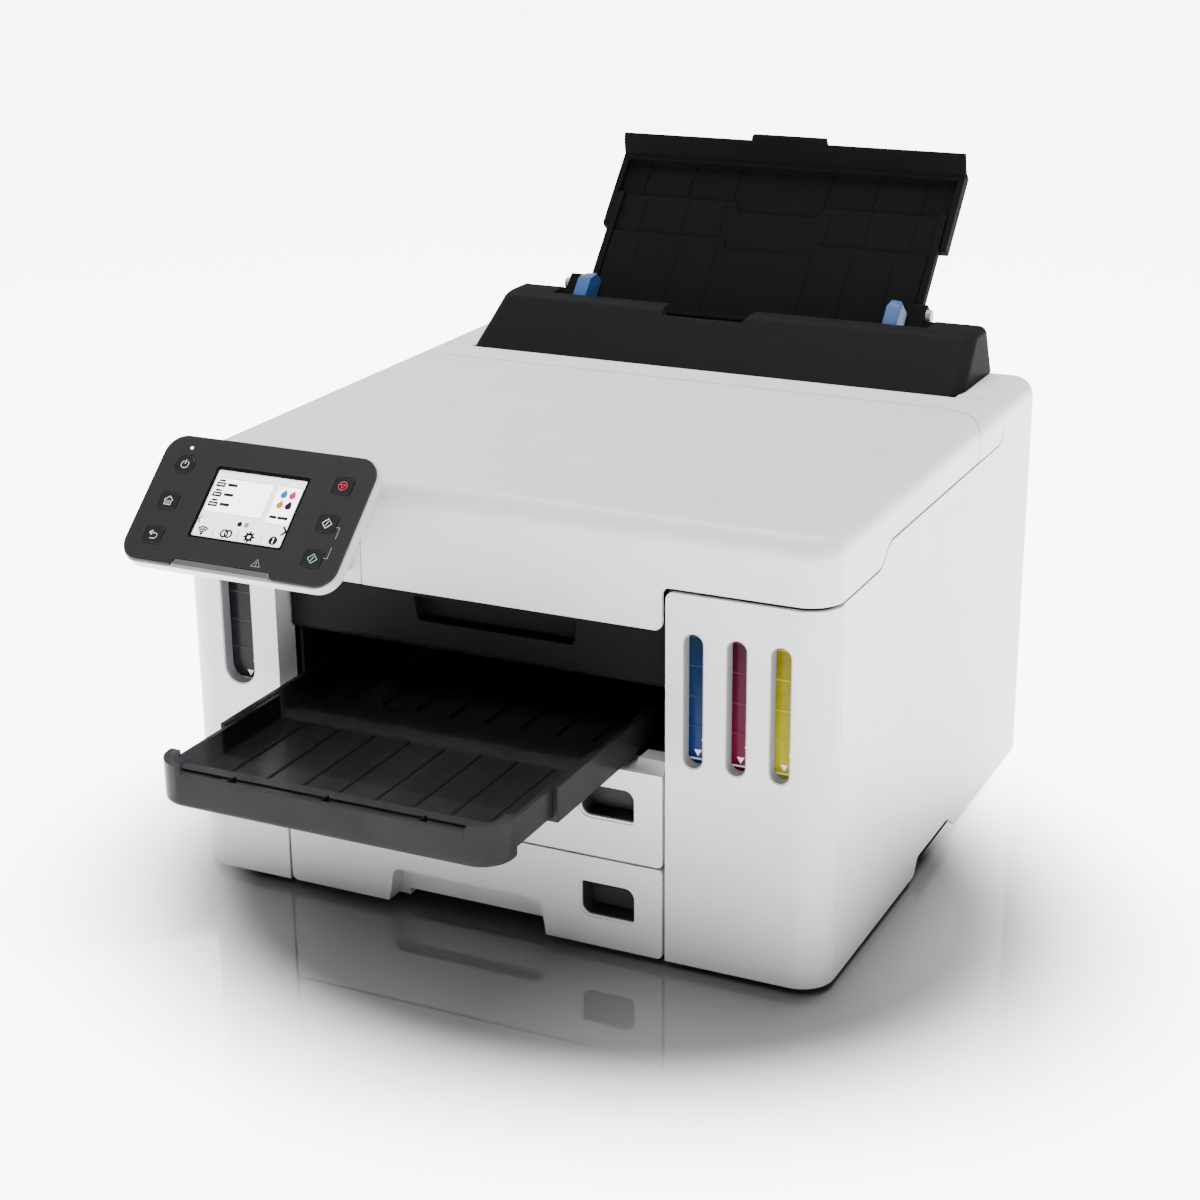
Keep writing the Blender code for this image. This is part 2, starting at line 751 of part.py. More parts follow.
def control_panel(body):
    axis = panel_axis()
    hinge = empty("panel_axis", axis, body, PANEL_TILT)
    half_x, half_z = PANEL_SIZE[0] / 2, PANEL_SIZE[1] / 2
    # The face's middle, seen from the hinge in the panel's own upright frame
    middle = (PANEL_CENTRE[0] - axis[0], -PANEL_AXIS_BACK, -PANEL_AXIS_UP)

    def at(bm):
        return shifted(bm, Vector(middle) * MM)

    keys = panel_keys()
    key_holes = [at(prism(grown(outline, 0.35), "Y", -2, 4)) for _, outline, _ in keys]
    part(
        "panel_face",
        at(prism(rounded(-half_x, half_x, -half_z, half_z, PANEL_RADIUS), "Y", 0, 2)),
        "gloss_black",
        hinge,
        cut=[
            at(prism(rounded(*SCREEN, 1.2, 2), "Y", -2, 4)),
            at(block((-32.5, 29.5), (-1, 3), (-half_z - 2, -half_z + 4))),
            *key_holes,
        ],
    )
    wells = [at(prism(grown(outline, 0.35), "Y", 0, 5)) for _, outline, _ in keys]
    grip = 0.8
    part(
        "panel_casing",
        at(
            prism(
                rounded(-half_x - grip, half_x + grip, -half_z - grip, half_z + grip, PANEL_RADIUS),
                "Y",
                2 + GAP,
                7.4,
            )
        ),
        "white_plastic",
        hinge,
        add=[
            rod("X", (0, 0), 4.4, -0.4, 25, 14),
            at(block((0.6, 24), (6, 12), (PANEL_AXIS_UP - 4, PANEL_AXIS_UP + 4))),
        ],
        cut=[
            rod("X", (0, 0), PIN_RADIUS + 0.4, -20, 40, 12),
            at(block((SCREEN[0] - 1, SCREEN[1] + 1), (0, 5), (SCREEN[2] - 1, SCREEN[3] + 1))),
            *wells,
        ],
    )
    part(
        "lcd_screen",
        at(
            block(
                (SCREEN[0] + 0.4, SCREEN[1] - 0.4), (0.7, 4.5), (SCREEN[2] + 0.4, SCREEN[3] - 0.4)
            )
        ),
        "screen_glass",
        hinge,
    )
    part(
        "status_bar",
        at(block((-32, 29), (0.1, 1.9), (-half_z, -half_z + 3.6))),
        "grey_plastic",
        hinge,
    )
    for name, outline, finish in keys:
        key = at(prism(outline, "Y", -0.4, 3.6))
        part(name, key, finish, hinge, pivot=key_centre(outline, middle))


def key_centre(outline, middle):
    across = sum(point[0] for point in outline) / len(outline)
    up = sum(point[1] for point in outline) / len(outline)
    return (middle[0] + across, middle[1], middle[2] + up)


def grown(outline, margin):
    """An outline scaled about its middle so that its sides move out by the margin."""
    across = [point[0] for point in outline]
    up = [point[1] for point in outline]
    middle = ((min(across) + max(across)) / 2, (min(up) + max(up)) / 2)
    wide = (max(across) - min(across)) / 2
    high = (max(up) - min(up)) / 2
    return [
        (
            middle[0] + (x - middle[0]) * (wide + margin) / wide,
            middle[1] + (z - middle[1]) * (high + margin) / high,
        )
        for x, z in outline
    ]


def panel_keys():
    """Each key's name, outline on the panel's face and finish."""
    half_x, half_z = KEY_SIZE[0] / 2, KEY_SIZE[1] / 2

    def square(x, z):
        return rounded(x - half_x, x + half_x, z - half_z, z + half_z, 1.6, 2)

    return [
        ("power_button", arc((-KEY_X, KEY_ROWS[0]), 6.0, 0, 345, 23), "gloss_black"),
        ("home_button", square(-KEY_X, KEY_ROWS[1]), "gloss_black"),
        ("back_button", square(-KEY_X, KEY_ROWS[2]), "gloss_black"),
        ("stop_button", square(KEY_X, KEY_ROWS[0]), "gloss_black"),
        ("black_start_button", square(KEY_X, KEY_ROWS[1]), "gloss_black"),
        ("colour_start_button", square(KEY_X, KEY_ROWS[2]), "gloss_black"),
    ]


# ---------------------------------------------------------------- rear feed


def frustum(low, high):
    """A tapering block. Each level is (x half, front y, back y, z)."""
    bm = block((-low[0], low[0]), (low[1], low[2]), (low[3], high[3]))
    for vert in bm.verts:
        if vert.co.z > (low[3] + high[3]) / 2 * MM:
            vert.co.x = math.copysign(high[0] * MM, vert.co.x)
            vert.co.y = (high[1] if vert.co.y < (low[1] + low[2]) / 2 * MM else high[2]) * MM
    return bm


def hopper_housing(body):
    outer = frustum(
        (HUMP_HALF, HUMP_FRONT, HUMP_BACK, TOP + GAP),
        (HUMP_TOP_HALF, HUMP_TOP_FRONT, HUMP_BACK, HUMP_TOP),
    )
    middle = Vector((0, (HUMP_FRONT + HUMP_BACK) / 2, TOP)) * MM
    corners = [edge for edge in outer.edges if upright_side(edge, middle) in FRONT_CORNERS]
    round_edges(outer, corners, 12, 4)
    top = max(outer.faces, key=lambda face: face.calc_center_median().z)
    rim = [edge for edge in top.edges if min(v.co.y for v in edge.verts) < (HUMP_BACK - 1) * MM]
    round_edges(outer, rim, 4, 3)
    ring_half = HUMP_HALF - 3
    opening = [(352, 257), (360, 257), (360, 252), (380, 252), (380, 300), (352, 300)]
    notch = [(-46, HUMP_TOP + 4), (-42, HUMP_TOP - 6), (10, HUMP_TOP - 6), (18, HUMP_TOP + 4)]
    housing = part(
        "hopper_housing",
        outer,
        "black_plastic",
        body,
        add=[
            block((-ring_half, ring_half), (HUMP_FRONT + 6, HUMP_BACK - GAP), (240, TOP + 3)),
        ],
        cut=[
            block((-162, 162), (311, 367.5), (238, 262)),
            frustum((161, 311, 367, 261.5), (154, 343, 367, HUMP_TOP - 3)),
            prism(opening, "X", -133, 133),
            prism(notch, "Y", 330, 356),
        ],
    )
    for number, shape in enumerate(pivot_blocks()):
        boolean(housing, "UNION", shape, f"pivot_{number}")


def pivot_blocks():
    """The two blocks beside the sloping support, each with a round boss and a foot in the housing."""
    shapes = []
    for inner, outer, side in ((-120.4, -129.0, -1), (117.0, 125.6, 1)):
        low, high = sorted((inner, outer))
        foot = sorted((inner, side * 135.5))
        boss = sorted((outer - side, outer + side * 3.4))
        shapes.append(leaning(block((low, high), (-9, -0.2), (-16, 5.5))))
        shapes.append(leaning(block(foot, (-8, -0.4), (-14, -6.5))))
        shapes.append(leaning(rod("X", (-4.5, -1), 4.2, *boss, 12)))
    return shapes


def leaning(bm):
    """Moves a shape from the sloping support's frame to the body."""
    bmesh.ops.transform(bm, matrix=Matrix.Rotation(-SUPPORT_TILT, 4, "X"), verts=bm.verts)
    return shifted(bm, Vector((0, SUPPORT_Y, HUMP_TOP)) * MM)


def support_frame(body):
    """The frame of the sloping paper support: its Z runs up the slope and its -Y faces the paper."""
    return empty("support_frame", (0, SUPPORT_Y, HUMP_TOP), body, SUPPORT_TILT)


def paper_support(body):
    frame = support_frame(body)
    part(
        "support_base",
        block((-113.5, 113.5), (1, 3.8), (-62, BASE_END)),
        "black_plastic",
        frame,
        cut=[block((-30, 30), (0, 5), (BASE_END - 8, BASE_END + 5))],
    )
    mid = empty("support_mid_slide", (0, 0, 0), frame)
    low, high = MID_RANGE
    part(
        "support_mid",
        block((-119, 119), (0.6, 7.2), (low, high)),
        "black_plastic",
        mid,
        cut=[
            block((-114.2, 114.2), (-1, 4.4), (low - 5, high + 5)),
            block((-30, 30), (3, 8), (high - 8, high + 5)),
        ],
    )
    top = empty("support_top_slide", (0, 0, 0), mid)
    low, high = TOP_RANGE
    # The end flange curls forward over the paper, and its middle tab stands a little higher.
    flange = [(6, 107.5), (6, 111.5), (-6.3, 120.4), (-7.7, 119.8), (-7.7, 117.4), (2.4, 107.5)]
    tab = [(0, 112), (-8.6, 123.6), (-10.7, 123.2), (-10.7, 120.6), (-2, 112)]
    part(
        "support_top",
        block((-TOP_HALF, TOP_HALF), (2.2, SUPPORT_BACK), (low, high)),
        "black_plastic",
        top,
        add=[
            prism(flange, "X", -TOP_HALF, TOP_HALF),
            prism(tab, "X", -28, 27.5),
        ],
        cut=[block((-119.7, 119.7), (-1, 7.8), (low - 5, high - 7))],
    )
    half = GUIDE_GAP / 2
    for name, side in (("left_paper_guide", -1), ("right_paper_guide", 1)):
        near = GUIDE_CENTRE + side * half
        outline = [(near, -24), (near + side * 9.5, -24), (near + side * 9.5, 1)]
        outline += [(near + side * 7, 5), (near, 6)]
        if side > 0:
            outline = outline[::-1]
        part(
            name,
            prism(outline, "Y", -GUIDE_DEPTH, -GAP),
            "blue_plastic",
            frame,
            pivot=(near, 0, 0),
        )


def hopper_chute(body):
    """The sloping plate that leads a rear-fed sheet down to the feed roller."""
    outline = [(338, 222), (225, 168), (224, 165.4), (340, 219.4)]
    part("hopper_chute", prism(outline, "X", *PAPER_SIDES), "black_plastic", body)


# ---------------------------------------------------------------- mechanism


def chassis(body):
    """A back wall that carries the carriage drive, between two side plates with the shaft holes."""
    bores = [rod("Y", (PULLEY_X, BELT_Z), 4, 190, 205, 12)]
    bores.append(rod("Y", (-PULLEY_X, BELT_Z), 2.4, 190, 205, 12))
    for side in (-1, 1):
        ends = (side * FRAME_X - 4, side * FRAME_X + 4)
        bores.append(rod("X", (SHAFT_Y, SHAFT_Z), 4.3, *ends, 12))
        bores.append(rod("X", (FEED_Y, ROLLER_Z), 3.4, *ends, 12))
        bores.append(rod("X", (EXIT_Y, ROLLER_Z), 3.4, *ends, 12))
    part(
        "chassis_frame",
        block((-FRAME_X, FRAME_X), (197, 199), (180, 238)),
        "steel",
        body,
        add=[
            block((FRAME_X - 1, FRAME_X + 1), (86, 290), (9, 238)),
            block((-FRAME_X - 1, 1 - FRAME_X), (86, 290), (9, 238)),
        ],
        cut=bores,
    )


def carriage_shaft(body):
    part(
        "carriage_shaft",
        rod("X", (SHAFT_Y, SHAFT_Z), 4, -FRAME_X - 3, FRAME_X + 3, 16),
        "steel",
        body,
    )


def print_carriage(body):
    slide = empty("carriage_slide", (CARRIAGE_X, SHAFT_Y, SHAFT_Z), body)
    half = 48
    part(
        "print_carriage",
        block((-half, half), (-32, 32), (-20, 36)),
        "black_plastic",
        slide,
        cut=[
            rod("X", (0, 0), 4.6, -half - 5, half + 5, 16),
            block((-half + 4, half - 4), (-28, -8), (-24, 40)),
            block((-half + 4, half - 4), (8, 28), (-14, 40)),
        ],
    )
    part(
        "print_head",
        block((-half + 5, half - 5), (-27, -9), (-26, 30)),
        "grey_plastic",
        slide,
    )


def belt_drive(body):
    """A closed belt round two pulleys, and the motor behind the right one."""
    wheel = (PULLEY_RADIUS, BELT_Y - 3.5, BELT_Y + 3.5, 20)
    part(
        "drive_pulley",
        rod("Y", (PULLEY_X, BELT_Z), *wheel),
        "grey_plastic",
        body,
        pivot=(PULLEY_X, BELT_Y, BELT_Z),
        cut=[rod("Y", (PULLEY_X, BELT_Z), 2, BELT_Y - 6, BELT_Y + 6, 10)],
    )
    part(
        "idler_pulley",
        rod("Y", (-PULLEY_X, BELT_Z), *wheel),
        "grey_plastic",
        body,
        pivot=(-PULLEY_X, BELT_Y, BELT_Z),
        add=[rod("Y", (-PULLEY_X, BELT_Z), 2, BELT_Y, 203, 10)],
    )

    def loop(radius):
        return arc((PULLEY_X, BELT_Z), radius, -90, 90, 10) + arc(
            (-PULLEY_X, BELT_Z), radius, 90, 270, 10
        )

    part(
        "timing_belt",
        prism(loop(PULLEY_RADIUS + 1.9), "Y", BELT_Y - 3, BELT_Y + 3),
        "rubber",
        body,
        cut=[prism(loop(PULLEY_RADIUS + 0.5), "Y", BELT_Y - 6, BELT_Y + 6)],
    )
    part(
        "carriage_motor",
        rod("Y", (PULLEY_X, BELT_Z), 15, 199.4, 232, 20),
        "steel",
        body,
        add=[rod("Y", (PULLEY_X, BELT_Z), 1.6, BELT_Y - 3, 201, 10)],
    )


def gear_outline(centre, radius, teeth):
    """A toothed wheel: four points for each tooth."""
    points = []
    for tooth in range(teeth):
        for share, reach in ((0.0, -1.4), (0.25, -1.4), (0.35, 0.0), (0.9, 0.0)):
            angle = 2 * math.pi * (tooth + share) / teeth
            points.append(
                (
                    centre[0] + (radius + reach) * math.cos(angle),
                    centre[1] + (radius + reach) * math.sin(angle),
                )
            )
    return points


def rollers(body):
    """Each roller is a rubber sleeve on a shaft, with a gear at its left end."""
    for name, y, radius, gear, teeth in (
        ("feed_roller", FEED_Y, 8, 18, 24),
        ("exit_roller", EXIT_Y, 6, 10, 14),
    ):
        centre = (y, ROLLER_Z)
        part(
            name,
            rod("X", centre, radius, *PAPER_SIDES, 16),
            "rubber",
            body,
            pivot=(0, y, ROLLER_Z),
            add=[
                rod("X", centre, 3, -FRAME_X - 3, FRAME_X + 3, 12),
                prism(gear_outline(centre, gear, teeth), "X", -182, -176),
            ],
        )


def print_station(body):
    part(
        "platen",
        block(PAPER_SIDES, (EXIT_Y + 8, FEED_Y - 10), (150, 163)),
        "black_plastic",
        body,
        cut=[block((x, x + 16), (EXIT_Y + 4, FEED_Y), (158, 170)) for x in range(-116, 100, 26)],
    )
    part(
        "capping_station",
        block((CARRIAGE_X - 15, CARRIAGE_X + 44), (118, 178), (126, 158)),
        "grey_plastic",
        body,
        add=[block((CARRIAGE_X - 8, CARRIAGE_X + 36), (122, 142), (157, 164.5))],
    )
    part(
        "feed_motor",
        rod("X", (245, 140), 16, -170, -140, 20),
        "steel",
        body,
        add=[rod("X", (245, 140), 1.6, -184, -169, 10)],
    )


def service_units(body):
    part(
        "maintenance_cartridge",
        block((-182, -138), (215, 330), (14, 72), ALL_CORNERS, 4, 2),
        "grey_plastic",
        body,
        add=[block((-172, -148), (328, 340), (30, 56))],
    )
    part(
        "power_supply",
        block((112, 182), (232, 352), (14, 68)),
        "black_plastic",
        body,
        cut=[block((118 + x, 122 + x), (250, 340), (64, 72)) for x in range(0, 60, 10)],
    )
    chips = [((118, 140), (130, 152)), ((150, 172), (140, 190)), ((120, 134), (200, 230))]
    part(
        "main_board",
        block((112, 182), (105, 225), (96, 98)),
        "board_green",
        body,
        add=[block(x, y, (97.5, 103)) for x, y in chips],
    )
    part(
        "power_inlet",
        block((120, 148), (353, DEPTH - 0.2), (25, 46)),
        "black_plastic",
        body,
        cut=[prism(rounded(125, 143, 29, 42, 4), "Y", 360, DEPTH + 2)],
    )


def build():
    body = empty("printer", (0, FRONT_Y, 0))
    right_tank_cover(body)
    left_tank_cover(body)
    side_shell("right_side_shell", body, 1, LID_RIGHT_LOW)
    side_shell("left_side_shell", body, -1, SKIRT_LOW)
    top_cover(body)
    rear_top_cover(body)
    rear_panel(body)
    rear_cover(body)
    base_plate(body)
    feet(body)
    ink_tanks(body)
    front_fascia(body)
    output_duct(body)
    panel_bracket(body)
    cassettes(body)
    output_tray(body)
    control_panel(body)
    hopper_housing(body)
    paper_support(body)
    hopper_chute(body)
    chassis(body)
    carriage_shaft(body)
    print_carriage(body)
    belt_drive(body)
    rollers(body)
    print_station(body)
    service_units(body)


clear_scene()
parts = new_collection("inkjet_printer")
cutters = new_collection("cutters")
build()
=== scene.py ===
"""The looks of the inkjet printer: shells, trays, panel and materials around the CAD frame.

Shapes are written in millimetres from the body's front face (y = 0), its middle (x = 0) and the
table (z = 0), as the design is. The frame says where that face is and how big the body is.
"""

import math

import bmesh
import bpy
from mathutils import Matrix, Vector
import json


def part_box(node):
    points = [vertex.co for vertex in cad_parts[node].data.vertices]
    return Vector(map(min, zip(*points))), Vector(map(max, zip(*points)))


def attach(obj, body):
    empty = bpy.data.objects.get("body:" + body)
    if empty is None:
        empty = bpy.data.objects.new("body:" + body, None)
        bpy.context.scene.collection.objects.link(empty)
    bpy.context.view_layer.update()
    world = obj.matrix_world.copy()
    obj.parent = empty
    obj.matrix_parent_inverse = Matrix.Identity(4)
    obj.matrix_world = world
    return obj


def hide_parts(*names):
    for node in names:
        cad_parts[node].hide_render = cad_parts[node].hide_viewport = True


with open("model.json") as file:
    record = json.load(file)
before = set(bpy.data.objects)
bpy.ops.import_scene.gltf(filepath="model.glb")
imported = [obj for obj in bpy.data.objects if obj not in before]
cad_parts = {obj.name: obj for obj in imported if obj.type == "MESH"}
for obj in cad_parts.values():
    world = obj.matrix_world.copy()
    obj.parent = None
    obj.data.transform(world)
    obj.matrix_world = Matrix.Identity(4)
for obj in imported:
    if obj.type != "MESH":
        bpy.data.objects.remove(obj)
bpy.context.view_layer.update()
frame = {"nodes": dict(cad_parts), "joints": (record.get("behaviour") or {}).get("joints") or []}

MM = 0.001
GAP = 0.3
SEAM = 1.0
WALL = 2.8
EDGE = 0.45


def cad(node):
    """A CAD node's box in millimetres, with y from the front face."""
    low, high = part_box(node)
    low, high = Vector(low) / MM, Vector(high) / MM
    low.y -= FACE
    high.y -= FACE
    return low, high


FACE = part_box("right_tank_cover")[0][1] / MM
BODY = Matrix.Translation((0, FACE * MM, 0))

# Body
HALF_WIDTH = cad("right_side_shell")[1].x
DEPTH = cad("rear_panel")[1].y
TOP = cad("top_cover")[1].z
BOTTOM = cad("right_side_shell")[0].z
FRONT_RADIUS = 19.0
REAR_RADIUS = 15.0
TOP_RADIUS = 12.0
SIDE_SEAM = cad("right_tank_cover")[1].y

# Front bay and lid
BAY_LEFT = cad("upper_cassette_front")[0].x - GAP
BAY_RIGHT = cad("upper_cassette_front")[1].x + GAP
LID_LOW = cad("top_cover")[0].z
LID_LEFT = cad("panel_bracket")[1].x + GAP
RIGHT_LOW = cad("right_tank_cover")[1].z + GAP
SKIRT_LOW = cad("left_tank_cover")[1].z + GAP
LID_REAR = 275.0
LID_SIDE_REAR = 234.5

# Slots of the tank covers
SLOT_CENTRES = (124.4, 149.0, 173.6)
SLOT_LEFT, SLOT_RIGHT = -7.0, 5.15
SLOT_LOW, SLOT_HIGH = 123.0, 200.0
WIDE_SLOT = (-172.5, -151.6, 125, 205)
TANK_FRONT = 8.4

# Handles of the cassettes, and ribs on the tray and its extension
HANDLE_X = (57.0, 89.0)
TRAY_RIBS = range(-96, 80, 22)

# Hump and sloping support
HUMP_LOW, HUMP_HIGH = 259.5, 289.0
SUPPORT_TILT = math.radians(41.2)
SUPPORT = BODY @ Matrix.Translation((0, 378.0 * MM, HUMP_HIGH * MM))
SUPPORT = SUPPORT @ Matrix.Rotation(-SUPPORT_TILT, 4, "X")

# Control panel: x to the right, y into the panel and z up its face, from the face's middle
PANEL_TILT = math.radians(47.6)
PANEL = BODY @ Matrix.Translation((-119.3 * MM, -44.0 * MM, 250.0 * MM))
PANEL = PANEL @ Matrix.Rotation(-PANEL_TILT, 4, "X")
PANEL_HALF = (67.5, 40.0)
PANEL_RADIUS = 12.0
SCREEN = (-30.0, 30.0, -22.0, 23.8)
KEY_X = 50.8
KEY_ROWS = (21.4, -2.3, -24.1)
KEYS = {
    "power": (-KEY_X, KEY_ROWS[0]), "home": (-KEY_X, KEY_ROWS[1]), "back": (-KEY_X, KEY_ROWS[2]),
    "stop": (KEY_X, KEY_ROWS[0]), "black_start": (KEY_X, KEY_ROWS[1]),
    "colour_start": (KEY_X, KEY_ROWS[2]),
}

# Materials: how much a colour varies, the heights between which the ink darkens towards its
# top with painted shade, and the colour sockets of the mix node
MOTTLE = 0.03
INK_LOW, INK_HIGH = 125, 200
MIX_FIRST, MIX_SECOND, MIX_RESULT = 6, 7, 2

# Floor: the distances in metres between which its glow rises out of the painted shade, and its half
# width in millimetres
GLOW_START, GLOW_END, GLOW_STRENGTH = 0.19, 0.36, 7.0
FLOOR_REACH = 60000


# ---- materials


class Nodes:
    """A small helper that adds and links shader nodes."""

    def __init__(self, name):
        self.material = bpy.data.materials.new(name)
        self.material.use_nodes = True
        self.tree = self.material.node_tree
        self.shader = self.tree.nodes["Principled BSDF"]
        self.place = self.add("ShaderNodeTexCoord").outputs["Object"]

    def add(self, kind, **settings):
        node = self.tree.nodes.new(kind)
        for key, value in settings.items():
            setattr(node, key, value)
        return node

    def link(self, source, target):
        self.tree.links.new(source, target)

    def drive(self, socket, source):
        """Feeds one of the shader's sockets from a node."""
        self.link(source, self.shader.inputs[socket])

    def hold(self, socket, value):
        """Sets one of the shader's own sockets."""
        self.shader.inputs[socket].default_value = value

    def mapped(self, **settings):
        """The place in the object, moved or stretched."""
        node = self.add("ShaderNodeMapping")
        for socket, value in settings.items():
            node.inputs[socket].default_value = value
        self.link(self.place, node.inputs["Vector"])
        return node.outputs["Vector"]

    def noise(self, scale, detail=2.0, stretch=None):
        node = self.add("ShaderNodeTexNoise")
        node.inputs["Scale"].default_value = scale
        node.inputs["Detail"].default_value = detail
        self.link(self.mapped(Scale=stretch) if stretch else self.place, node.inputs["Vector"])
        return node.outputs["Fac"]

    def spread(self, value, low, high, start=0.3, end=0.7, **settings):
        """Maps a value, by default a noise's usual range, to another range."""
        node = self.add("ShaderNodeMapRange", **settings)
        for socket, number in (
            ("From Min", start), ("From Max", end), ("To Min", low), ("To Max", high),
        ):
            node.inputs[socket].default_value = number
        self.link(value, node.inputs["Value"])
        return node.outputs["Result"]

    def blend(self, share, first, second):
        """Mixes two colours. The first may also be another node's output."""
        node = self.add("ShaderNodeMix", data_type="RGBA")
        self.link(share, node.inputs["Factor"])
        if isinstance(first, tuple):
            node.inputs[MIX_FIRST].default_value = (*first, 1)
        else:
            self.link(first, node.inputs[MIX_FIRST])
        node.inputs[MIX_SECOND].default_value = (*second, 1)
        return node.outputs[MIX_RESULT]

    def compute(self, kind, first, second, **settings):
        """Arithmetic on a node's output and a number or another output."""
        node = self.add("ShaderNodeMath", operation=kind, **settings)
        self.link(first, node.inputs[0])
        if isinstance(second, float):
            node.inputs[1].default_value = second
        else:
            self.link(second, node.inputs[1])
        return node.outputs["Value"]

    def bump(self, height, distance):
        node = self.add("ShaderNodeBump")
        node.inputs["Distance"].default_value = distance
        self.link(height, node.inputs["Height"])
        self.drive("Normal", node.outputs["Normal"])


def plastic(name, colour, roughness=0.42, grain=2200.0, depth=0.00002, sheen=None):
    """Moulded plastic: spark-eroded grain, a slight mottle and an uneven sheen."""
    nodes = Nodes(name)
    if sheen is None:
        sheen = 0.12 if max(colour) < 0.05 else 0.4
    light = tuple(min(1.0, channel * (1 + MOTTLE)) for channel in colour)
    dark = tuple(channel * (1 - MOTTLE) for channel in colour)
    share = nodes.spread(nodes.noise(26.0, 3.0), 0.0, 1.0)
    nodes.drive("Base Color", nodes.blend(share, dark, light))
    gloss = nodes.spread(nodes.noise(70.0, 4.0), roughness - 0.035, roughness + 0.035)
    nodes.drive("Roughness", gloss)
    nodes.bump(nodes.noise(grain, 2.0), depth)
    nodes.hold("Specular IOR Level", sheen)
    return nodes.material


def metal(name, colour, roughness, stretch):
    """Rolled or drawn metal: fine lines along one direction."""
    nodes = Nodes(name)
    lines = nodes.noise(900.0, 3.0, stretch)
    dark = tuple(channel * 0.86 for channel in colour)
    nodes.drive("Base Color", nodes.blend(nodes.spread(lines, 0, 1), dark, colour))
    nodes.drive("Roughness", nodes.spread(lines, roughness - 0.08, roughness + 0.08))
    nodes.bump(lines, 0.00001)
    nodes.hold("Metallic", 1.0)
    return nodes.material


def ink(name, top, bottom):
    """A translucent tank full of ink with a soft clouded surface; darker near its top, painted
    shade from the cover above.
    """
    nodes = Nodes(name)
    split = nodes.add("ShaderNodeSeparateXYZ")
    nodes.link(nodes.place, split.inputs["Vector"])
    share = nodes.spread(split.outputs["Z"], 0.0, 1.0, INK_LOW * MM, INK_HIGH * MM)
    cloud = nodes.spread(nodes.noise(160.0, 4.0), -0.12, 0.12)
    share = nodes.compute("ADD", share, cloud, use_clamp=True)
    nodes.drive("Base Color", nodes.blend(share, bottom, top))
    nodes.drive("Roughness", nodes.spread(nodes.noise(90.0), 0.16, 0.26))
    nodes.bump(nodes.noise(600.0, 3.0), 0.00002)
    nodes.hold("Specular IOR Level", 0.07)
    return nodes.material


def smoke(name):
    """Smoked clear plastic: dark, faintly see-through, with faint flow marks."""
    nodes = Nodes(name)
    flow = nodes.noise(34.0, 4.0, (1, 0.4, 1))
    dark, light = (0.022, 0.022, 0.024), (0.032, 0.032, 0.035)
    nodes.drive("Base Color", nodes.blend(nodes.spread(flow, 0, 1), dark, light))
    nodes.drive("Roughness", nodes.spread(flow, 0.16, 0.26))
    nodes.bump(nodes.noise(1500.0, 2.0), 0.00001)
    nodes.hold("Transmission Weight", 0.6)
    nodes.hold("IOR", 1.14)
    nodes.hold("Specular IOR Level", 0.12)
    return nodes.material


def lit(name, colour, strength):
    """A lit area of the display, with the faint grid of its pixels."""
    nodes = Nodes(name)
    grid = nodes.add("ShaderNodeTexWave", wave_profile="SIN", bands_direction="X")
    grid.inputs["Scale"].default_value = 900.0
    nodes.link(nodes.place, grid.inputs["Vector"])
    dark = tuple(channel * 0.97 for channel in colour)
    tone = nodes.blend(nodes.spread(grid.outputs["Fac"], 0, 1, 0, 1), dark, colour)
    nodes.drive("Base Color", tone)
    nodes.drive("Emission Color", tone)
    nodes.hold("Emission Strength", strength)
    nodes.drive("Roughness", nodes.spread(nodes.noise(60.0), 0.22, 0.30))
    nodes.hold("Specular IOR Level", 0.05)
    return nodes.material


WHITE = plastic("white_shell", (0.52, 0.518, 0.535), 0.4)
# painted shade for the inner walls of the tank slots
SLOT_WALL_SHADE = plastic("slot_wall_shade", (0.26, 0.26, 0.28), 0.45)
WHITE_INSIDE = plastic("white_inside", (0.70, 0.70, 0.72), 0.55)
HUMP_BLACK = plastic("hump_black", (0.009, 0.009, 0.010), sheen=0.004)
BLACK = plastic("black_frame", (0.006, 0.006, 0.0065), 0.5, sheen=0.003)
FASCIA_BLACK = plastic("fascia_black", (0.0075, 0.0072, 0.0080), sheen=0.02)
# dark plastic inside the body, also used as painted shade behind the seams
BLACK_AND_SEAM_SHADE = plastic("inner_black_and_seam_shade", (0.006, 0.006, 0.0065), 0.6)
PANEL_BLACK = plastic("panel_black", (0.018, 0.018, 0.019), depth=0.00001, sheen=0.1)
KEY_BLACK = plastic("key_black", (0.012, 0.012, 0.013), 0.36, depth=0.00001, sheen=0.1)
BEZEL_BLACK = plastic("bezel_black", (0.004, 0.004, 0.005), 0.2, depth=0.000002, sheen=0.1)
GREY = plastic("grey_plastic", (0.22, 0.22, 0.23), 0.4)
# painted shade inside the cassettes' handle pockets
POCKET_SHADE = plastic("pocket_shade", (0.022, 0.022, 0.023), 0.5)
BAR_GREY = plastic("bar_grey", (0.07, 0.07, 0.073), 0.35)
BLUE = plastic("guide_blue", (0.022, 0.060, 0.170), sheen=0.1)
RUBBER = plastic("rubber", (0.022, 0.022, 0.022), 0.75, grain=1400.0, depth=0.00005)
BOARD = plastic("board_green", (0.015, 0.14, 0.06), 0.35)
MARK_WHITE = plastic("mark_white", (0.62, 0.62, 0.62), 0.4)
MARK_GREY = plastic("mark_grey", (0.24, 0.24, 0.24), 0.4)
MARK_RED = plastic("mark_red", (0.62, 0.05, 0.09), 0.4)
MARK_GREEN = plastic("mark_green", (0.22, 0.46, 0.38), 0.4)
STEEL = metal("rolled_steel", (0.56, 0.57, 0.59), 0.36, (1, 1, 0.02))
SHAFT_STEEL = metal("ground_steel", (0.66, 0.67, 0.69), 0.22, (0.02, 1, 1))
SMOKE = smoke("smoke_plastic")
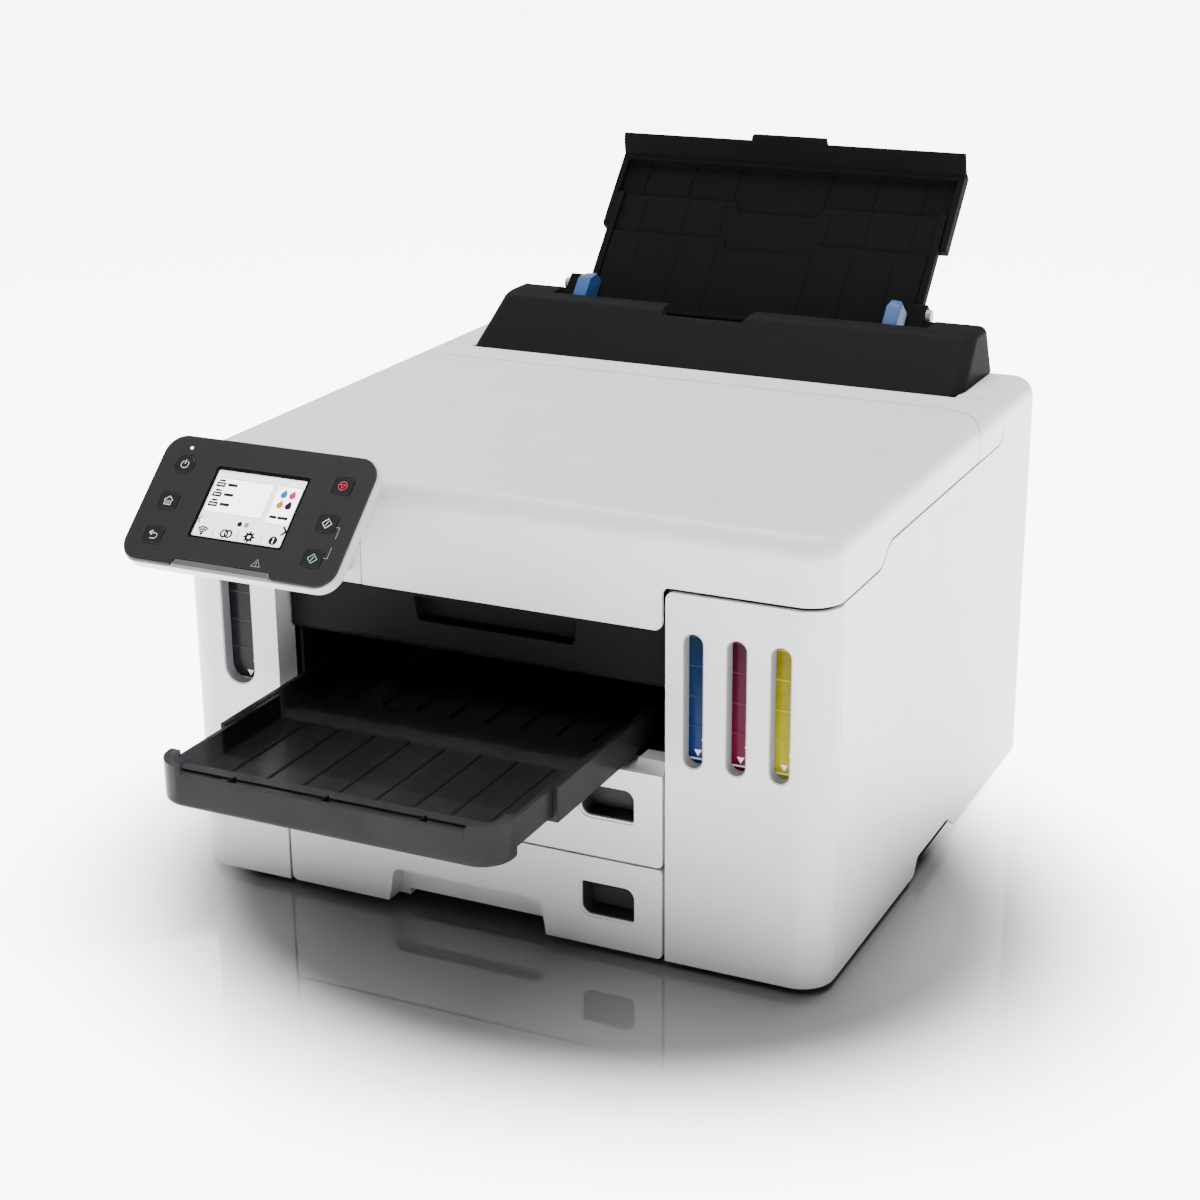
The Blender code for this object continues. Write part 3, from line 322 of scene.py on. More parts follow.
# each ink's top colour is darker than its bottom one: painted shade from the cover above the tanks
INKS = {
    colour: ink(f"ink_{colour}", top, bottom)
    for colour, top, bottom in (
        ("cyan", (0.003, 0.013, 0.028), (0.002, 0.015, 0.085)),
        ("magenta", (0.022, 0.0, 0.007), (0.082, 0.0, 0.015)),
        ("yellow", (0.10, 0.085, 0.0), (0.27, 0.245, 0.0)),
        ("black", (0.003, 0.003, 0.0035), (0.012, 0.012, 0.014)),
    )
}
TICKS = {
    colour: plastic(f"tick_{colour}", tone, 0.3, sheen=0.05)
    for colour, tone in (
        ("cyan", (0.018, 0.030, 0.075)), ("magenta", (0.11, 0.008, 0.035)),
        ("yellow", (0.30, 0.27, 0.02)), ("black", (0.028, 0.028, 0.031)),
    )
}


# ---- shapes


def outline(*points, steps=8):
    """A closed outline. A point with a third value is rounded to that radius."""
    made = []
    count = len(points)
    for index, point in enumerate(points):
        if len(point) == 2:
            made.append(tuple(point))
            continue
        here = Vector(point[:2])
        before = (Vector(points[index - 1][:2]) - here).normalized()
        after = (Vector(points[(index + 1) % count][:2]) - here).normalized()
        half = before.angle(after) / 2
        reach = point[2] / math.tan(half)
        centre = here + (before + after).normalized() * point[2] / math.sin(half)
        start = here + before * reach - centre
        end = here + after * reach - centre
        turn = start.angle_signed(end)
        for step in range(steps + 1):
            spot = centre + Matrix.Rotation(-turn * step / steps, 2) @ start
            made.append((spot.x, spot.y))
    return made


def rounded(left, right, low, high, radius, steps=8):
    return outline(
        (left, low, radius), (right, low, radius), (right, high, radius), (left, high, radius),
        steps=steps,
    )


def grown(edges, by):
    """The four edges of a rectangle, moved outwards."""
    left, right, low, high = edges
    return left - by, right + by, low - by, high + by


def circle(centre, radius, sides=48):
    turns = [2 * math.pi * side / sides for side in range(sides)]
    return [(centre[0] + radius * math.cos(a), centre[1] + radius * math.sin(a)) for a in turns]


def prism(points, axis, low, high):
    """An outline filled and extruded. It lies in YZ for axis X, in XZ for Y and in XY for Z."""
    bm = bmesh.new()
    spots = {
        "X": lambda a, b, c: (c, a, b),
        "Y": lambda a, b, c: (a, c, b),
        "Z": lambda a, b, c: (a, b, c),
    }[axis]
    verts = [bm.verts.new(Vector(spots(a, b, low)) * MM) for a, b in points]
    face = bm.faces.new(verts)
    made = bmesh.ops.extrude_face_region(bm, geom=[face])
    moved = [item for item in made["geom"] if isinstance(item, bmesh.types.BMVert)]
    bmesh.ops.translate(bm, vec=Vector(spots(0, 0, (high - low) * MM)), verts=moved)
    bmesh.ops.recalc_face_normals(bm, faces=bm.faces)
    return bm


def block(x, y, z):
    bm = bmesh.new()
    bmesh.ops.create_cube(bm, size=1.0)
    size = Vector((x[1] - x[0], y[1] - y[0], z[1] - z[0])) * MM
    middle = Vector((x[0] + x[1], y[0] + y[1], z[0] + z[1])) * MM / 2
    bmesh.ops.scale(bm, vec=size, verts=bm.verts)
    bmesh.ops.translate(bm, vec=middle, verts=bm.verts)
    return bm


def plate(edges, radius, depth, steps=8):
    """A plate in XZ with rounded corners: its left, right, low and high edges, and a depth in Y."""
    return prism(rounded(*edges, radius, steps), "Y", *depth)


def bars(places, span, y, z):
    """Equal bars side by side. The span is where each starts and ends from its place in X."""
    return [block((x + span[0], x + span[1]), y, z) for x in places]


def cad_block(node):
    """A block as large as a CAD node's box."""
    low, high = cad(node)
    return block((low.x, high.x), (low.y, high.y), (low.z, high.z))


def soften(bm, picked, radius, segments=10):
    """Rounds the edges that the test picks. It gets the edge's two ends in millimetres."""
    edges = [edge for edge in bm.edges if picked(*(vert.co / MM for vert in edge.verts))]
    bmesh.ops.bevel(
        bm, geom=edges, offset=radius * MM, segments=segments, profile=0.5, affect="EDGES"
    )
    return bm


def rod(axis, centre, radius, low, high, sides=40):
    return prism(circle(centre, radius, sides), axis, low, high)


def as_mesh(bm, name="shape"):
    mesh = bpy.data.meshes.new(name)
    bm.to_mesh(mesh)
    bm.free()
    return mesh


def added(name, data):
    """A new object in the scene."""
    obj = bpy.data.objects.new(name, data)
    bpy.context.collection.objects.link(obj)
    return obj


def gathered(shapes):
    """Several separate shapes as one mesh."""
    whole = bmesh.new()
    for shape in shapes:
        mesh = as_mesh(shape)
        whole.from_mesh(mesh)
        bpy.data.meshes.remove(mesh)
    return whole


def evaluated(obj):
    """The object's mesh with its modifiers applied."""
    bpy.context.view_layer.update()
    graph = bpy.context.evaluated_depsgraph_get()
    return bpy.data.meshes.new_from_object(obj.evaluated_get(graph))


def combined(bm, keep=(), add=(), cut=()):
    """A mesh kept inside some shapes, then joined with some, then cut by others."""
    base = added("shape", as_mesh(bm))
    steps = [("INTERSECT", shape) for shape in keep]
    steps += [("UNION", shape) for shape in add]
    steps += [("DIFFERENCE", shape) for shape in cut]
    helpers = []
    for operation, shape in steps:
        helper = added("shape", as_mesh(shape))
        modifier = base.modifiers.new(operation, "BOOLEAN")
        modifier.operation = operation
        modifier.solver = "EXACT"
        modifier.object = helper
        helpers.append(helper)
    mesh = evaluated(base)
    for obj in [base, *helpers]:
        bpy.data.objects.remove(obj)
    return mesh


def carved(bm, **changes):
    """The same as combined, as a shape that can be changed further."""
    mesh = combined(bm, **changes)
    made = bmesh.new()
    made.from_mesh(mesh)
    bpy.data.meshes.remove(mesh)
    return made


def bevelled(obj, width):
    """Rounds an object's sharp edges a little."""
    bevel = obj.modifiers.new("edges", "BEVEL")
    bevel.width = width * MM
    bevel.segments = 2
    bevel.limit_method = "ANGLE"
    bevel.angle_limit = math.radians(40)
    return bevel


def piece(name, shape, material, body, stands_for=(), slot=None, space=BODY, edge=EDGE, **changes):
    """One visible piece: its shape in a space's millimetres, its material and the body it rides.

    The shape may be a list of separate shapes.
    """
    mesh = combined(gathered(shape) if isinstance(shape, list) else shape, **changes)
    mesh.name = name
    mesh.transform(space)
    obj = added(name, mesh)
    if edge:
        bevelled(obj, edge).miter_outer = "MITER_ARC"
    normals = obj.modifiers.new("normals", "WEIGHTED_NORMAL")
    normals.keep_sharp = True
    mesh.materials.clear()
    mesh.materials.append(material)
    mesh.shade_smooth()
    mesh.set_sharp_from_angle(angle=math.radians(50))
    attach(obj, body)
    if stands_for:
        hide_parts(*stands_for)
    return obj


def stroke(points, width, closed=False, depth=(-0.45, -0.3)):
    """A line of even width on a panel's face, as one thin solid for each stretch."""
    shapes = []
    for first, second in zip(points, points[1:] + points[:1] if closed else points[1:]):
        start, end = Vector(first), Vector(second)
        along = (end - start).normalized() * width / 2
        side = Vector((-along.y, along.x))
        start, end = start - along * 0.8, end + along * 0.8
        corners = [start - side, end - side, end + side, start + side]
        shapes.append(prism([tuple(corner) for corner in corners], "Y", *depth))
    return shapes


def bow(centre, radius, start, end, steps=14):
    """Points along an arc between two angles in degrees."""
    points = []
    for step in range(steps + 1):
        angle = math.radians(start + (end - start) * step / steps)
        points.append((centre[0] + radius * math.cos(angle), centre[1] + radius * math.sin(angle)))
    return points


def around(centre, *points):
    """Points given from a centre."""
    return [(centre[0] + across, centre[1] + up) for across, up in points]


# ---- body shells


def upright(a, b):
    """A test for soften that picks upright edges."""
    return abs(a.z - b.z) > 1


def rounded_box(half, y, z, front, rear, top, steps=10):
    """A box standing on a flat base, with upright corner radii and a rounded top edge."""
    bm = bmesh.new()
    rings = []
    for step in range(steps + 2):
        angle = math.radians(90) * max(step - 1, 0) / steps
        inset = top * (1 - math.cos(angle))
        height = z[0] if step == 0 else z[1] - top + top * math.sin(angle)
        x, low, high = half - inset, y[0] + inset, y[1] - inset
        ring = outline(
            (-x, low, front - inset), (x, low, front - inset), (x, high, rear - inset),
            (-x, high, rear - inset), steps=14,
        )
        rings.append([bm.verts.new(Vector((*point, height)) * MM) for point in ring])
    for lower, upper in zip(rings, rings[1:]):
        for index, vert in enumerate(lower):
            after = (index + 1) % len(lower)
            bm.faces.new((vert, lower[after], upper[after], upper[index]))
    bm.faces.new(rings[0])
    bm.faces.new(rings[-1])
    bmesh.ops.recalc_face_normals(bm, faces=bm.faces)
    return bm


def body_outside():
    return rounded_box(
        HALF_WIDTH, (0, DEPTH), (BOTTOM, TOP), FRONT_RADIUS, REAR_RADIUS, TOP_RADIUS
    )


def body_inside():
    return rounded_box(
        HALF_WIDTH - WALL, (WALL, DEPTH - WALL), (BOTTOM - 10, TOP - WALL), FRONT_RADIUS - WALL,
        REAR_RADIUS - WALL, TOP_RADIUS - WALL, 6,
    )


def seam_shade_rim():
    """A dark inner rim just behind the seams, painted shade that keeps them dark; with the lid open
    it also shows along the body's edge.
    """
    rear_low, front_low = SKIRT_LOW + 3.5, RIGHT_LOW + 3.5
    right = [(-5, 201.5), (20, 201.5), (20, 195), (295, 195), (295, rear_low)]
    right += [*reversed(step_curve(front_low, rear_low)), (-5, front_low)]
    left = [(-5, 206.5), (20, 206.5), (20, 195), (295, 195), (295, rear_low), (-5, rear_low)]
    for side, profile, x in (
        ("right", right, (BAY_RIGHT + 1.5, 210)), ("left", left, (-210, LID_LEFT - 60)),
    ):
        outside, inside = (
            rounded_box(
                HALF_WIDTH - inset, (inset, DEPTH - inset), z, FRONT_RADIUS - inset,
                REAR_RADIUS - inset, top, 4,
            )
            for inset, z, top in ((3.0, (190, TOP), 4.0), (4.4, (180, TOP + 10), 3.0))
        )
        piece(
            f"{side}_rim", outside, BLACK_AND_SEAM_SHADE, "body", edge=0,
            keep=[prism(profile, "X", *x)], cut=[inside],
        )
    # painted shade: a dark shelf under the lid's rear seam
    under_top = prism(lid_plan(2.5), "Z", TOP - WALL - 0.9, TOP - WALL - 0.15)
    arm_gaps = bars((-127, 115), (0, 12), (200, 300), (200, TOP))
    piece(
        "rear_seam_shade_shelf", under_top, BLACK_AND_SEAM_SHADE, "body", edge=0,
        keep=[block((-178, 178), (238, 300), (200, TOP))],
        cut=[prism(lid_plan(-3.0), "Z", 200, TOP + 2), *arm_gaps],
    )
    # painted shade: dark linings behind the seams at the sides of the front bay
    lining = [
        block((BAY_RIGHT + 0.2, BAY_RIGHT + 0.9), (3.2, 17), (BOTTOM + 1, LID_LOW + 4)),
        block((BAY_LEFT - 0.9, BAY_LEFT - 0.2), (3.2, 13.5), (BOTTOM + 1, 119)),
    ]
    piece("bay_seam_shade_linings", lining, BLACK_AND_SEAM_SHADE, "body", edge=0)


def step_curve(low, high, grow=0.0):
    """The side seam's rise from the front skirt line to the rear one, as a smooth S."""
    start, end = 73.0 - grow, 95.0 - grow
    points = []
    for step in range(13):
        share = step / 12
        height = low + (high - low) * (1 - math.cos(math.pi * share)) / 2
        points.append((start + (end - start) * share, height))
    return points


def above_side_seam(front_low):
    """What lies above the seam of a side shell: the lid's skirt, then the rear top cover."""
    front_low, rear_low = front_low - SEAM / 2, SKIRT_LOW - SEAM / 2
    start = [(10, front_low)]
    if front_low < rear_low:
        start += step_curve(front_low, rear_low)
    corner = bow((295, rear_low + 10), 10, -90, 0, 8)
    return start + corner + [(305, TOP + 5), (10, TOP + 5)]


def lid_plan(grow):
    """The lid from above: its rear corners sweep round to the sides."""
    rear, side = LID_REAR + grow, LID_SIDE_REAR + grow
    corner = []
    for step in range(17):
        angle = math.radians(90 * step / 16)
        corner.append((162 + 42 * math.cos(angle), side + (rear - side) * math.sin(angle)))
    mirrored = [(-across, y) for across, y in reversed(corner)]
    return [(204, -3), *corner, *mirrored, (-204, -3)]


def top_cover():
    low, high = RIGHT_LOW + SEAM, SKIRT_LOW + SEAM
    tongue_left, tongue_right = LID_LEFT + 0.2, BAY_RIGHT - SEAM
    under_front = outline(
        (-204, 180), (-204, high), (tongue_left, high, 1.0), (tongue_left, LID_LOW, 1.0),
        (tongue_right, LID_LOW, 4.5), (tongue_right, low, 4.5), (204, low), (204, 180),
    )
    under_right = [(18, low), *step_curve(low, high, 0.3), (300, high), (300, 180), (18, 180)]
    under_left = [(18, high), (300, high), (300, 180), (18, 180)]
    ribs = bars(range(-140, 141, 70), (-0.8, 0.8), (22, 255), (250, 257))
    ribs += [block((-186, 186), (y - 0.8, y + 0.8), (250, 257)) for y in (70, 140, 210)]
    arm = [(256, 257), (266, 257), (270, 249), (288, 249), (288, 239), (262, 239), (256, 246)]
    ribs += [prism(arm, "X", x - 3, x + 3) for x in (-121, 121)]
    piece(
        "lid_shell", body_outside(), WHITE, "lid", ["top_cover"], "white_plastic",
        keep=[prism(lid_plan(-SEAM / 2), "Z", LID_LOW - 1, TOP + 2)],
        cut=[
            body_inside(),
            prism(under_front, "Y", -3, 18.5),
            prism(under_right, "X", 120, 204),
            prism(under_left, "X", -204, -120),
        ],
    )
    piece("lid_ribs", ribs, WHITE_INSIDE, "lid", edge=0)


def rear_top_cover():
    low = SKIRT_LOW + GAP
    corner = bow((294.7, low + 10), 9.7, -90, 0, 8)
    band = [(225, low + 0.3), *corner, (304.4, TOP + 3), (225, TOP + 3)]
    piece(
        "rear_top_shell", body_outside(), WHITE, "body", ["rear_top_cover"], "white_plastic",
        keep=[prism(band, "X", -202, 202)],
        cut=[
            body_inside(),
            prism(lid_plan(SEAM / 2), "Z", 220, TOP + 3),
            block((-168.3, 168.3), (301.7, 320), (220, TOP + 3)),
        ],
    )


def side_shell(name, node, side, front_low):
    x = sorted((side * 202, side * 168.3))
    past = sorted((side * 205, side * 160))
    notch = outline(
        (146, 0), (150, BOTTOM), (157, BOTTOM + 0.4, 5), (163, 15, 5), (222, 15, 5),
        (236, BOTTOM + 0.4, 5), (240, 0),
    )
    piece(
        name, body_outside(), WHITE, "body", [node], "white_plastic",
        keep=[block(x, (SIDE_SEAM + 0.25, DEPTH + 2), (4, TOP + 2))],
        cut=[
            body_inside(), prism(above_side_seam(front_low), "X", *past),
            prism(notch, "X", *past),
        ],
    )


def slot_cut(left, right, low, high):
    return plate((left, right, low, high), (right - left) / 2 - 0.01, (-2, 6), 12)


def collar(left, right, low, high):
    """The liner of a slot, from just behind the cover's face to the tank. Its grey is painted shade
    on the slot's inner walls.
    """
    radius = (right - left) / 2
    edges = (left, right, low, high)
    outer = plate(grown(edges, -0.04), radius - 0.05, (0.5, TANK_FRONT - 0.5), 12)
    return carved(outer, cut=[plate(grown(edges, -0.6), radius - 0.61, (0, 12), 12)])


def cover_hollow(x):
    """The inside of a tank cover, with the rounded corner at the body's side."""
    side = HALF_WIDTH - WALL
    bm = block((max(x[0], -side), min(x[1], side)), (WALL, 30), (0, 250))

    def front_corner(a, b):
        return upright(a, b) and a.y < WALL + 0.1 and abs(a.x) > side - 0.1

    return soften(bm, front_corner, FRONT_RADIUS - WALL, 12)


def tank_covers():
    left, top = BAY_RIGHT + SEAM, RIGHT_LOW - SEAM
    face = outline((left, 4), (201, 4), (201, top), (left, top, 4.5))
    slots = [(x + SLOT_LEFT, x + SLOT_RIGHT, SLOT_LOW, SLOT_HIGH) for x in SLOT_CENTRES]
    piece(
        "right_tank_cover_shell", body_outside(), WHITE, "body", ["right_tank_cover"],
        "white_plastic",
        keep=[prism(face, "Y", -1, SIDE_SEAM)],
        cut=[cover_hollow((left + 2.5, 220)), *(slot_cut(*slot) for slot in slots)],
    )
    # painted shade: the slot walls are grey, darker than the white cover
    collars = [collar(*slot) for slot in slots]
    piece("right_slot_collars", collars, SLOT_WALL_SHADE, "body", edge=0)
    right, top = BAY_LEFT - SEAM, SKIRT_LOW - SEAM
    piece(
        "left_tank_cover_shell", body_outside(), WHITE, "body", ["left_tank_cover"],
        "white_plastic",
        keep=[block((-201, right), (-1, SIDE_SEAM), (4, top))],
        cut=[cover_hollow((-220, right - 5)), slot_cut(*WIDE_SLOT)],
    )
    piece("left_slot_collar", collar(*WIDE_SLOT), SLOT_WALL_SHADE, "body", edge=0)


def level_marks(colour, left, right):
    """The tank's moulded level lines, the low-level line and its arrow."""
    depth = (TANK_FRONT - 0.25, TANK_FRONT + 0.35)
    lines = [block((left - 3, right), depth, (z, z + 0.7)) for z in (144.3, 161.3, 178.5, 195)]
    piece(f"{colour}_tank_level_lines", lines, TICKS[colour], "body", edge=0)
    low = block((left - 3, right), depth, (125.6, 126.6))
    middle = (left + right) / 2 - 1.2
    arrow = [(middle - 2.1, 131.2), (middle, 127.6), (middle + 2.1, 131.2)]
    marks = [low, prism(arrow, "Y", *depth)]
    piece(f"{colour}_tank_low_mark", marks, MARK_WHITE, "body", edge=0)


def ink_tank(colour, neck):
    """One tank and its filler cap. The neck is the cap's place in X."""
    low, high = cad(f"{colour}_ink_tank")
    x, base, flange = (low.x, high.x), high.z - 8, high.z - 4
    piece(
        f"{colour}_tank", soften(block(x, (TANK_FRONT, high.y), (low.z, base)), upright, 3, 6),
        INKS[colour], "body", [f"{colour}_ink_tank"], f"ink_{colour}", edge=0.6,
        add=[block(x, (TANK_FRONT, TANK_FRONT + 8), (high.z - 20, high.z - 1))],
    )
    lug = block((neck - 3, neck + 3), (50, 74), (flange - 1, high.z - 1))
    cap = [
        rod("Z", (neck, 58), 8, base - 0.2, flange),
        rod("Z", (neck, 58), 6.5, flange - 0.1, high.z),
        soften(lug, upright, 2, 6),
    ]
    piece(f"{colour}_tank_cap", cap, BLACK, "body", edge=0.3)


def tanks():
    for colour, x in zip(INKS, SLOT_CENTRES):
        ink_tank(colour, x)
        level_marks(colour, x - 4.2, x + 4.2)
    left, right = WIDE_SLOT[:2]
    ink_tank("black", (left + right) / 2)
    level_marks("black", left + 4, right + 2)
    for x in (*(x + SLOT_RIGHT for x in SLOT_CENTRES), right):
        wedge = prism([(x - 1.0, 141), (x + 0.1, 139.9), (x + 0.1, 142.1)], "Y", 0.3, 2.6)
        piece(f"notch_mark_{round(x + 200)}", wedge, WHITE, "body", edge=0)


# ---- front bay


def front_fascia():
    low, high = cad("front_fascia")
    left, right = low.x, high.x
    recess = outline((-52, 191, 1), (-50, 177, 3), (47, 177, 3), (49, 191, 1))
    body = block((left, right), (14, 28), (low.z, high.z))
    soften(body, lambda a, b: a.y < 14.1 and b.y < 14.1 and max(a.z, b.z) < low.z + 0.1, 4, 8)
    piece(
        "fascia", body, FASCIA_BLACK, "body", ["front_fascia"], "gloss_black",
        cut=[prism(recess, "Y", 10, 23)],
    )


def output_duct():
    low, high = cad("output_duct")
    depth, z = (21, 88), (low.z, high.z)
    left_wall = block((low.x, low.x + 2.2), depth, z)
    right_wall = block((high.x - 2.2, high.x), depth, z)
    floor = block((low.x + 1, high.x - 1), (29, 88), (low.z, low.z + 2))
    ribs = bars(range(-120, 100, 22), (0, 1.6), (30, 86), (low.z + 1, low.z + 3.4))
    piece(
        "duct", left_wall, BLACK_AND_SEAM_SHADE, "body", ["output_duct"], "black_plastic", edge=0.3,
        add=[right_wall, floor, *ribs],
    )


def handle_outline(z, inset=0, wide=6, tight=1.2):
    """A cassette's handle: its corners are round and tight by turns."""
    left, right, low, high = grown((*HANDLE_X, *z), -inset)
    return outline((left, low, wide), (right, low, tight), (right, high, wide), (left, high, tight))


def cassette(label, low_z, high_z, handle, body):
    front = cad(f"{label}_cassette_front")
    left, right, low_z, high_z = front[0].x + 0.3, front[1].x - 0.3, low_z + 0.35, high_z - 0.35
    face = outline(
        (left, low_z, 4 if label == "lower" else 1.5), (right, low_z, 3), (right, high_z, 2.5),
        (left, high_z, 1.5),
    )
    well = outline(
        (HANDLE_X[0] - 1.2, handle[0] - 1.4, 7), (HANDLE_X[1] + 0.3, handle[0] - 1.4, 2),
        (HANDLE_X[1] + 0.3, handle[1] + 0.3, 6), (HANDLE_X[0] - 1.2, handle[1] + 0.3, 2),
    )
    behind = (WALL, 22)
    cuts = [
        prism(handle_outline(handle), "Y", -2, 14),
        block((left + 2.5, -68), behind, (low_z + 2.5, high_z - 9)),
        block((95, right - 2.5), behind, (low_z + 2.5, high_z - 9)),
        prism(well, "Y", -1, 0.7),
    ]
    if label == "upper":
        slope = [(-1, high_z - 5.5), (1.4, high_z - 5.2), (8, high_z + 0.1), (8, high_z + 4)]
        cuts += [
            prism([*slope, (-1, high_z + 4)], "X", left - 2, right + 2),
            block((-121.5, 88.5), (-2, 25), (high_z - 4.5, high_z + 5)),
            block((-65, 34), behind, (low_z + 2.5, high_z - 8)),
        ]
    else:
        arch = [(-69, 0), (-66, 12, 8), (-64, 26.5, 5), (31, 26.5, 5), (33.5, 12, 8), (35, 0)]
        cuts += [
            prism(outline(*arch), "Y", -2, 12),
            block((-60, 30), (11, 22), (0, low_z + 4)),
            block((-60, 30), (15, 22), (low_z + 6, high_z - 3)),
        ]
    piece(
        f"{label}_front", prism(face, "Y", 0, front[1].y), WHITE, body,
        [f"{label}_cassette_front"], "white_plastic", cut=cuts,
    )
    # painted shade: a dark lining inside the white handle pocket
    piece(
        f"{label}_handle_pocket_shade", prism(handle_outline(handle, 0.05), "Y", 1.6, 14.2),
        POCKET_SHADE, body, edge=0,
        cut=[prism(handle_outline(handle, 0.7, 5.4, 0.8), "Y", 0, 13.2)],
    )


def cassette_tray(label, body):
    node = f"{label}_cassette_tray"
    low, high = cad(node)
    wall, floor = 2.5, low.z + 2
    inside = block(
        (low.x + wall, high.x - wall), (low.y + wall, high.y - wall), (low.z + wall, high.z + 5)
    )
    ribs = bars(range(-100, 90, 38), (0, 2), (low.y + 3, high.y - 3), (floor, low.z + 3.6))
    guides = bars((-121.5, 92), (0, 3), (60, 180), (floor, high.z - 8))
    guides = [soften(guide, upright, 1.2, 4) for guide in guides]
    piece(
        f"{label}_tray", cad_block(node), BLACK, body, [node], "black_plastic", cut=[inside],
        edge=0.6,
    )
    piece(f"{label}_tray_ribs", ribs, BLACK, body, edge=0.3)
    piece(f"{label}_tray_guides", guides, GREY, body, edge=0.3)
    stop = block((-40, 10), (250, 254), (floor, high.z - 12))
    piece(f"{label}_tray_stop", stop, GREY, body, edge=0.4)


def output_tray():
    low, high = cad("output_tray")
    inside = block((low.x + 3, high.x - 3), (low.y - 5, high.y + 5), (low.z + 2.6, high.z + 5))
    piece(
        "tray_main", cad_block("output_tray"), SMOKE, "output_tray", ["output_tray"],
        "smoke_plastic", cut=[inside],
    )
    ribs = bars(TRAY_RIBS, (0, 1.4), (12, high.y - 2), (low.z + 2.5, low.z + 4.6))
    piece("tray_main_ribs", ribs, SMOKE, "output_tray", edge=0.3)


def tray_extension():
    body = "output_extension"
    low, high = cad("output_tray_extension")
    left, right = low.x, high.x
    shoulder = -129.0
    nose = block((left, right), (low.y, shoulder), (low.z, high.z))
    soften(nose, lambda a, b: upright(a, b) and a.y < low.y + 1, 18, 14)

    def under(a, b):
        return max(a.z, b.z) < low.z + 0.1 and min(a.y, b.y) < shoulder - 1

    soften(nose, under, 3, 6)
    tongue = block((left + 3.4, right - 3.4), (shoulder - 4, -34), (low.z + 3, high.z - 4))
    back = low.y + 2.6
    inside = block((left + 6, right - 6), (back, 0), (low.z + 5.4, high.z + 10))
    soften(inside, lambda a, b: upright(a, b) and a.y < low.y + 10, 14, 12)
    dip = outline((-103, high.z + 8), (-100, high.z - 4, 3), (67, high.z - 4, 3), (70, high.z + 8))
    piece(
        "tray_front", nose, SMOKE, body, ["output_tray_extension"], "smoke_plastic",
        add=[tongue], cut=[inside, prism(dip, "Y", low.y - 2, low.y + 5)],
    )
    webs = bars(
        (-73.5, -17.6, 39, 65), (-0.5, 0.5), (back - 0.2, back + 9), (low.z + 5, high.z - 5)
    )
    piece("tray_front_ribs", webs, BLACK, body, edge=0)
    grip = outline((-44.5, 138, 1), (-40.7, 129.4, 3), (23.5, 129.4, 3), (31.3, 138, 1))
    piece("tray_grip", prism(grip, "Y", back + 0.2, back + 1.4), BLACK, body, edge=0.2)
    runs = bars(TRAY_RIBS, (0, 1.4), (-118, -35), (low.z + 5.3, low.z + 6.3))
    piece("tray_front_runs", runs, SMOKE, body, edge=0.3)
    ledge = block((left + 8, right - 8), (back + 9, back + 17), (high.z - 8, high.z - 6.4))
    piece("tray_ledge", ledge, SMOKE, body, edge=0.4)


# ---- control panel


def key_outline(name, grow=0.0):
    x, z = KEYS[name]
    if name == "power":
        return circle((x, z), 6.0 + grow, 56)
    half_x, half_z = 5.75 + grow, 5.25 + grow
    return rounded(x - half_x, x + half_x, z - half_z, z + half_z, 1.6 + grow, 5)


def key_wells(*depth):
    return [prism(key_outline(name, 0.35), "Y", *depth) for name in KEYS]


def panel_plate():
    half_x, half_z = PANEL_HALF
    face = (-half_x, half_x, -half_z, half_z)
    bar_gap = outline(
        (-34.5, -half_z - 2), (-31.5, -half_z + 4.2), (29, -half_z + 4.2), (32, -half_z - 2)
    )
    window = plate(SCREEN, 1.2, (-2, 4), 4)
    piece(
        "panel_plate", plate(face, PANEL_RADIUS, (0, 2), 14), PANEL_BLACK, "panel",
        ["panel_face"], "gloss_black", PANEL,
        cut=[window, prism(bar_gap, "Y", -1, 3), *key_wells(-2, 4)],
    )
    left, right, low, high = SCREEN
    piece(
        "screen_bezel", plate(grown(SCREEN, -0.1), 1.2, (0.35, 1.6), 4), BEZEL_BLACK, "panel",
        space=PANEL, edge=0.12,
        cut=[plate((left + 1.7, right - 1.7, low + 1.5, high - 2.2), 0.8, (0, 3), 4)],
    )
    lip, rear = 0.8, 10.4
    back = plate(grown(face, lip), PANEL_RADIUS + lip, (2 + GAP, rear), 14)
    soften(back, lambda a, b: min(a.y, b.y) > rear - 0.1, 3.2, 8)
    piece(
        "panel_back", back, WHITE, "panel", ["panel_casing"], "white_plastic", PANEL,
        add=[rod("X", (12, 22), 4.4, -0.4, 25), block((0.6, 24), (6, 12), (18, 26))],
        cut=[
            rod("X", (12, 22), 1.9, -20, 40),
            block((-15, -0.5), (7.4, 12), (4, 50)),
            block((25, 40), (7.4, 12), (4, 50)),
            block((left - 1, right + 1), (0, 5), (low - 1, high + 1)),
            *key_wells(0, 5),
        ],
    )
    bar = outline(
        (-32.5, -half_z + 0.1), (-30.9, -half_z + 3.8), (28.4, -half_z + 3.8), (30, -half_z + 0.1)
    )
    piece(
        "light_bar", prism(bar, "Y", 0.1, 1.9), BAR_GREY, "panel", ["status_bar"],
        "grey_plastic", PANEL,
    )


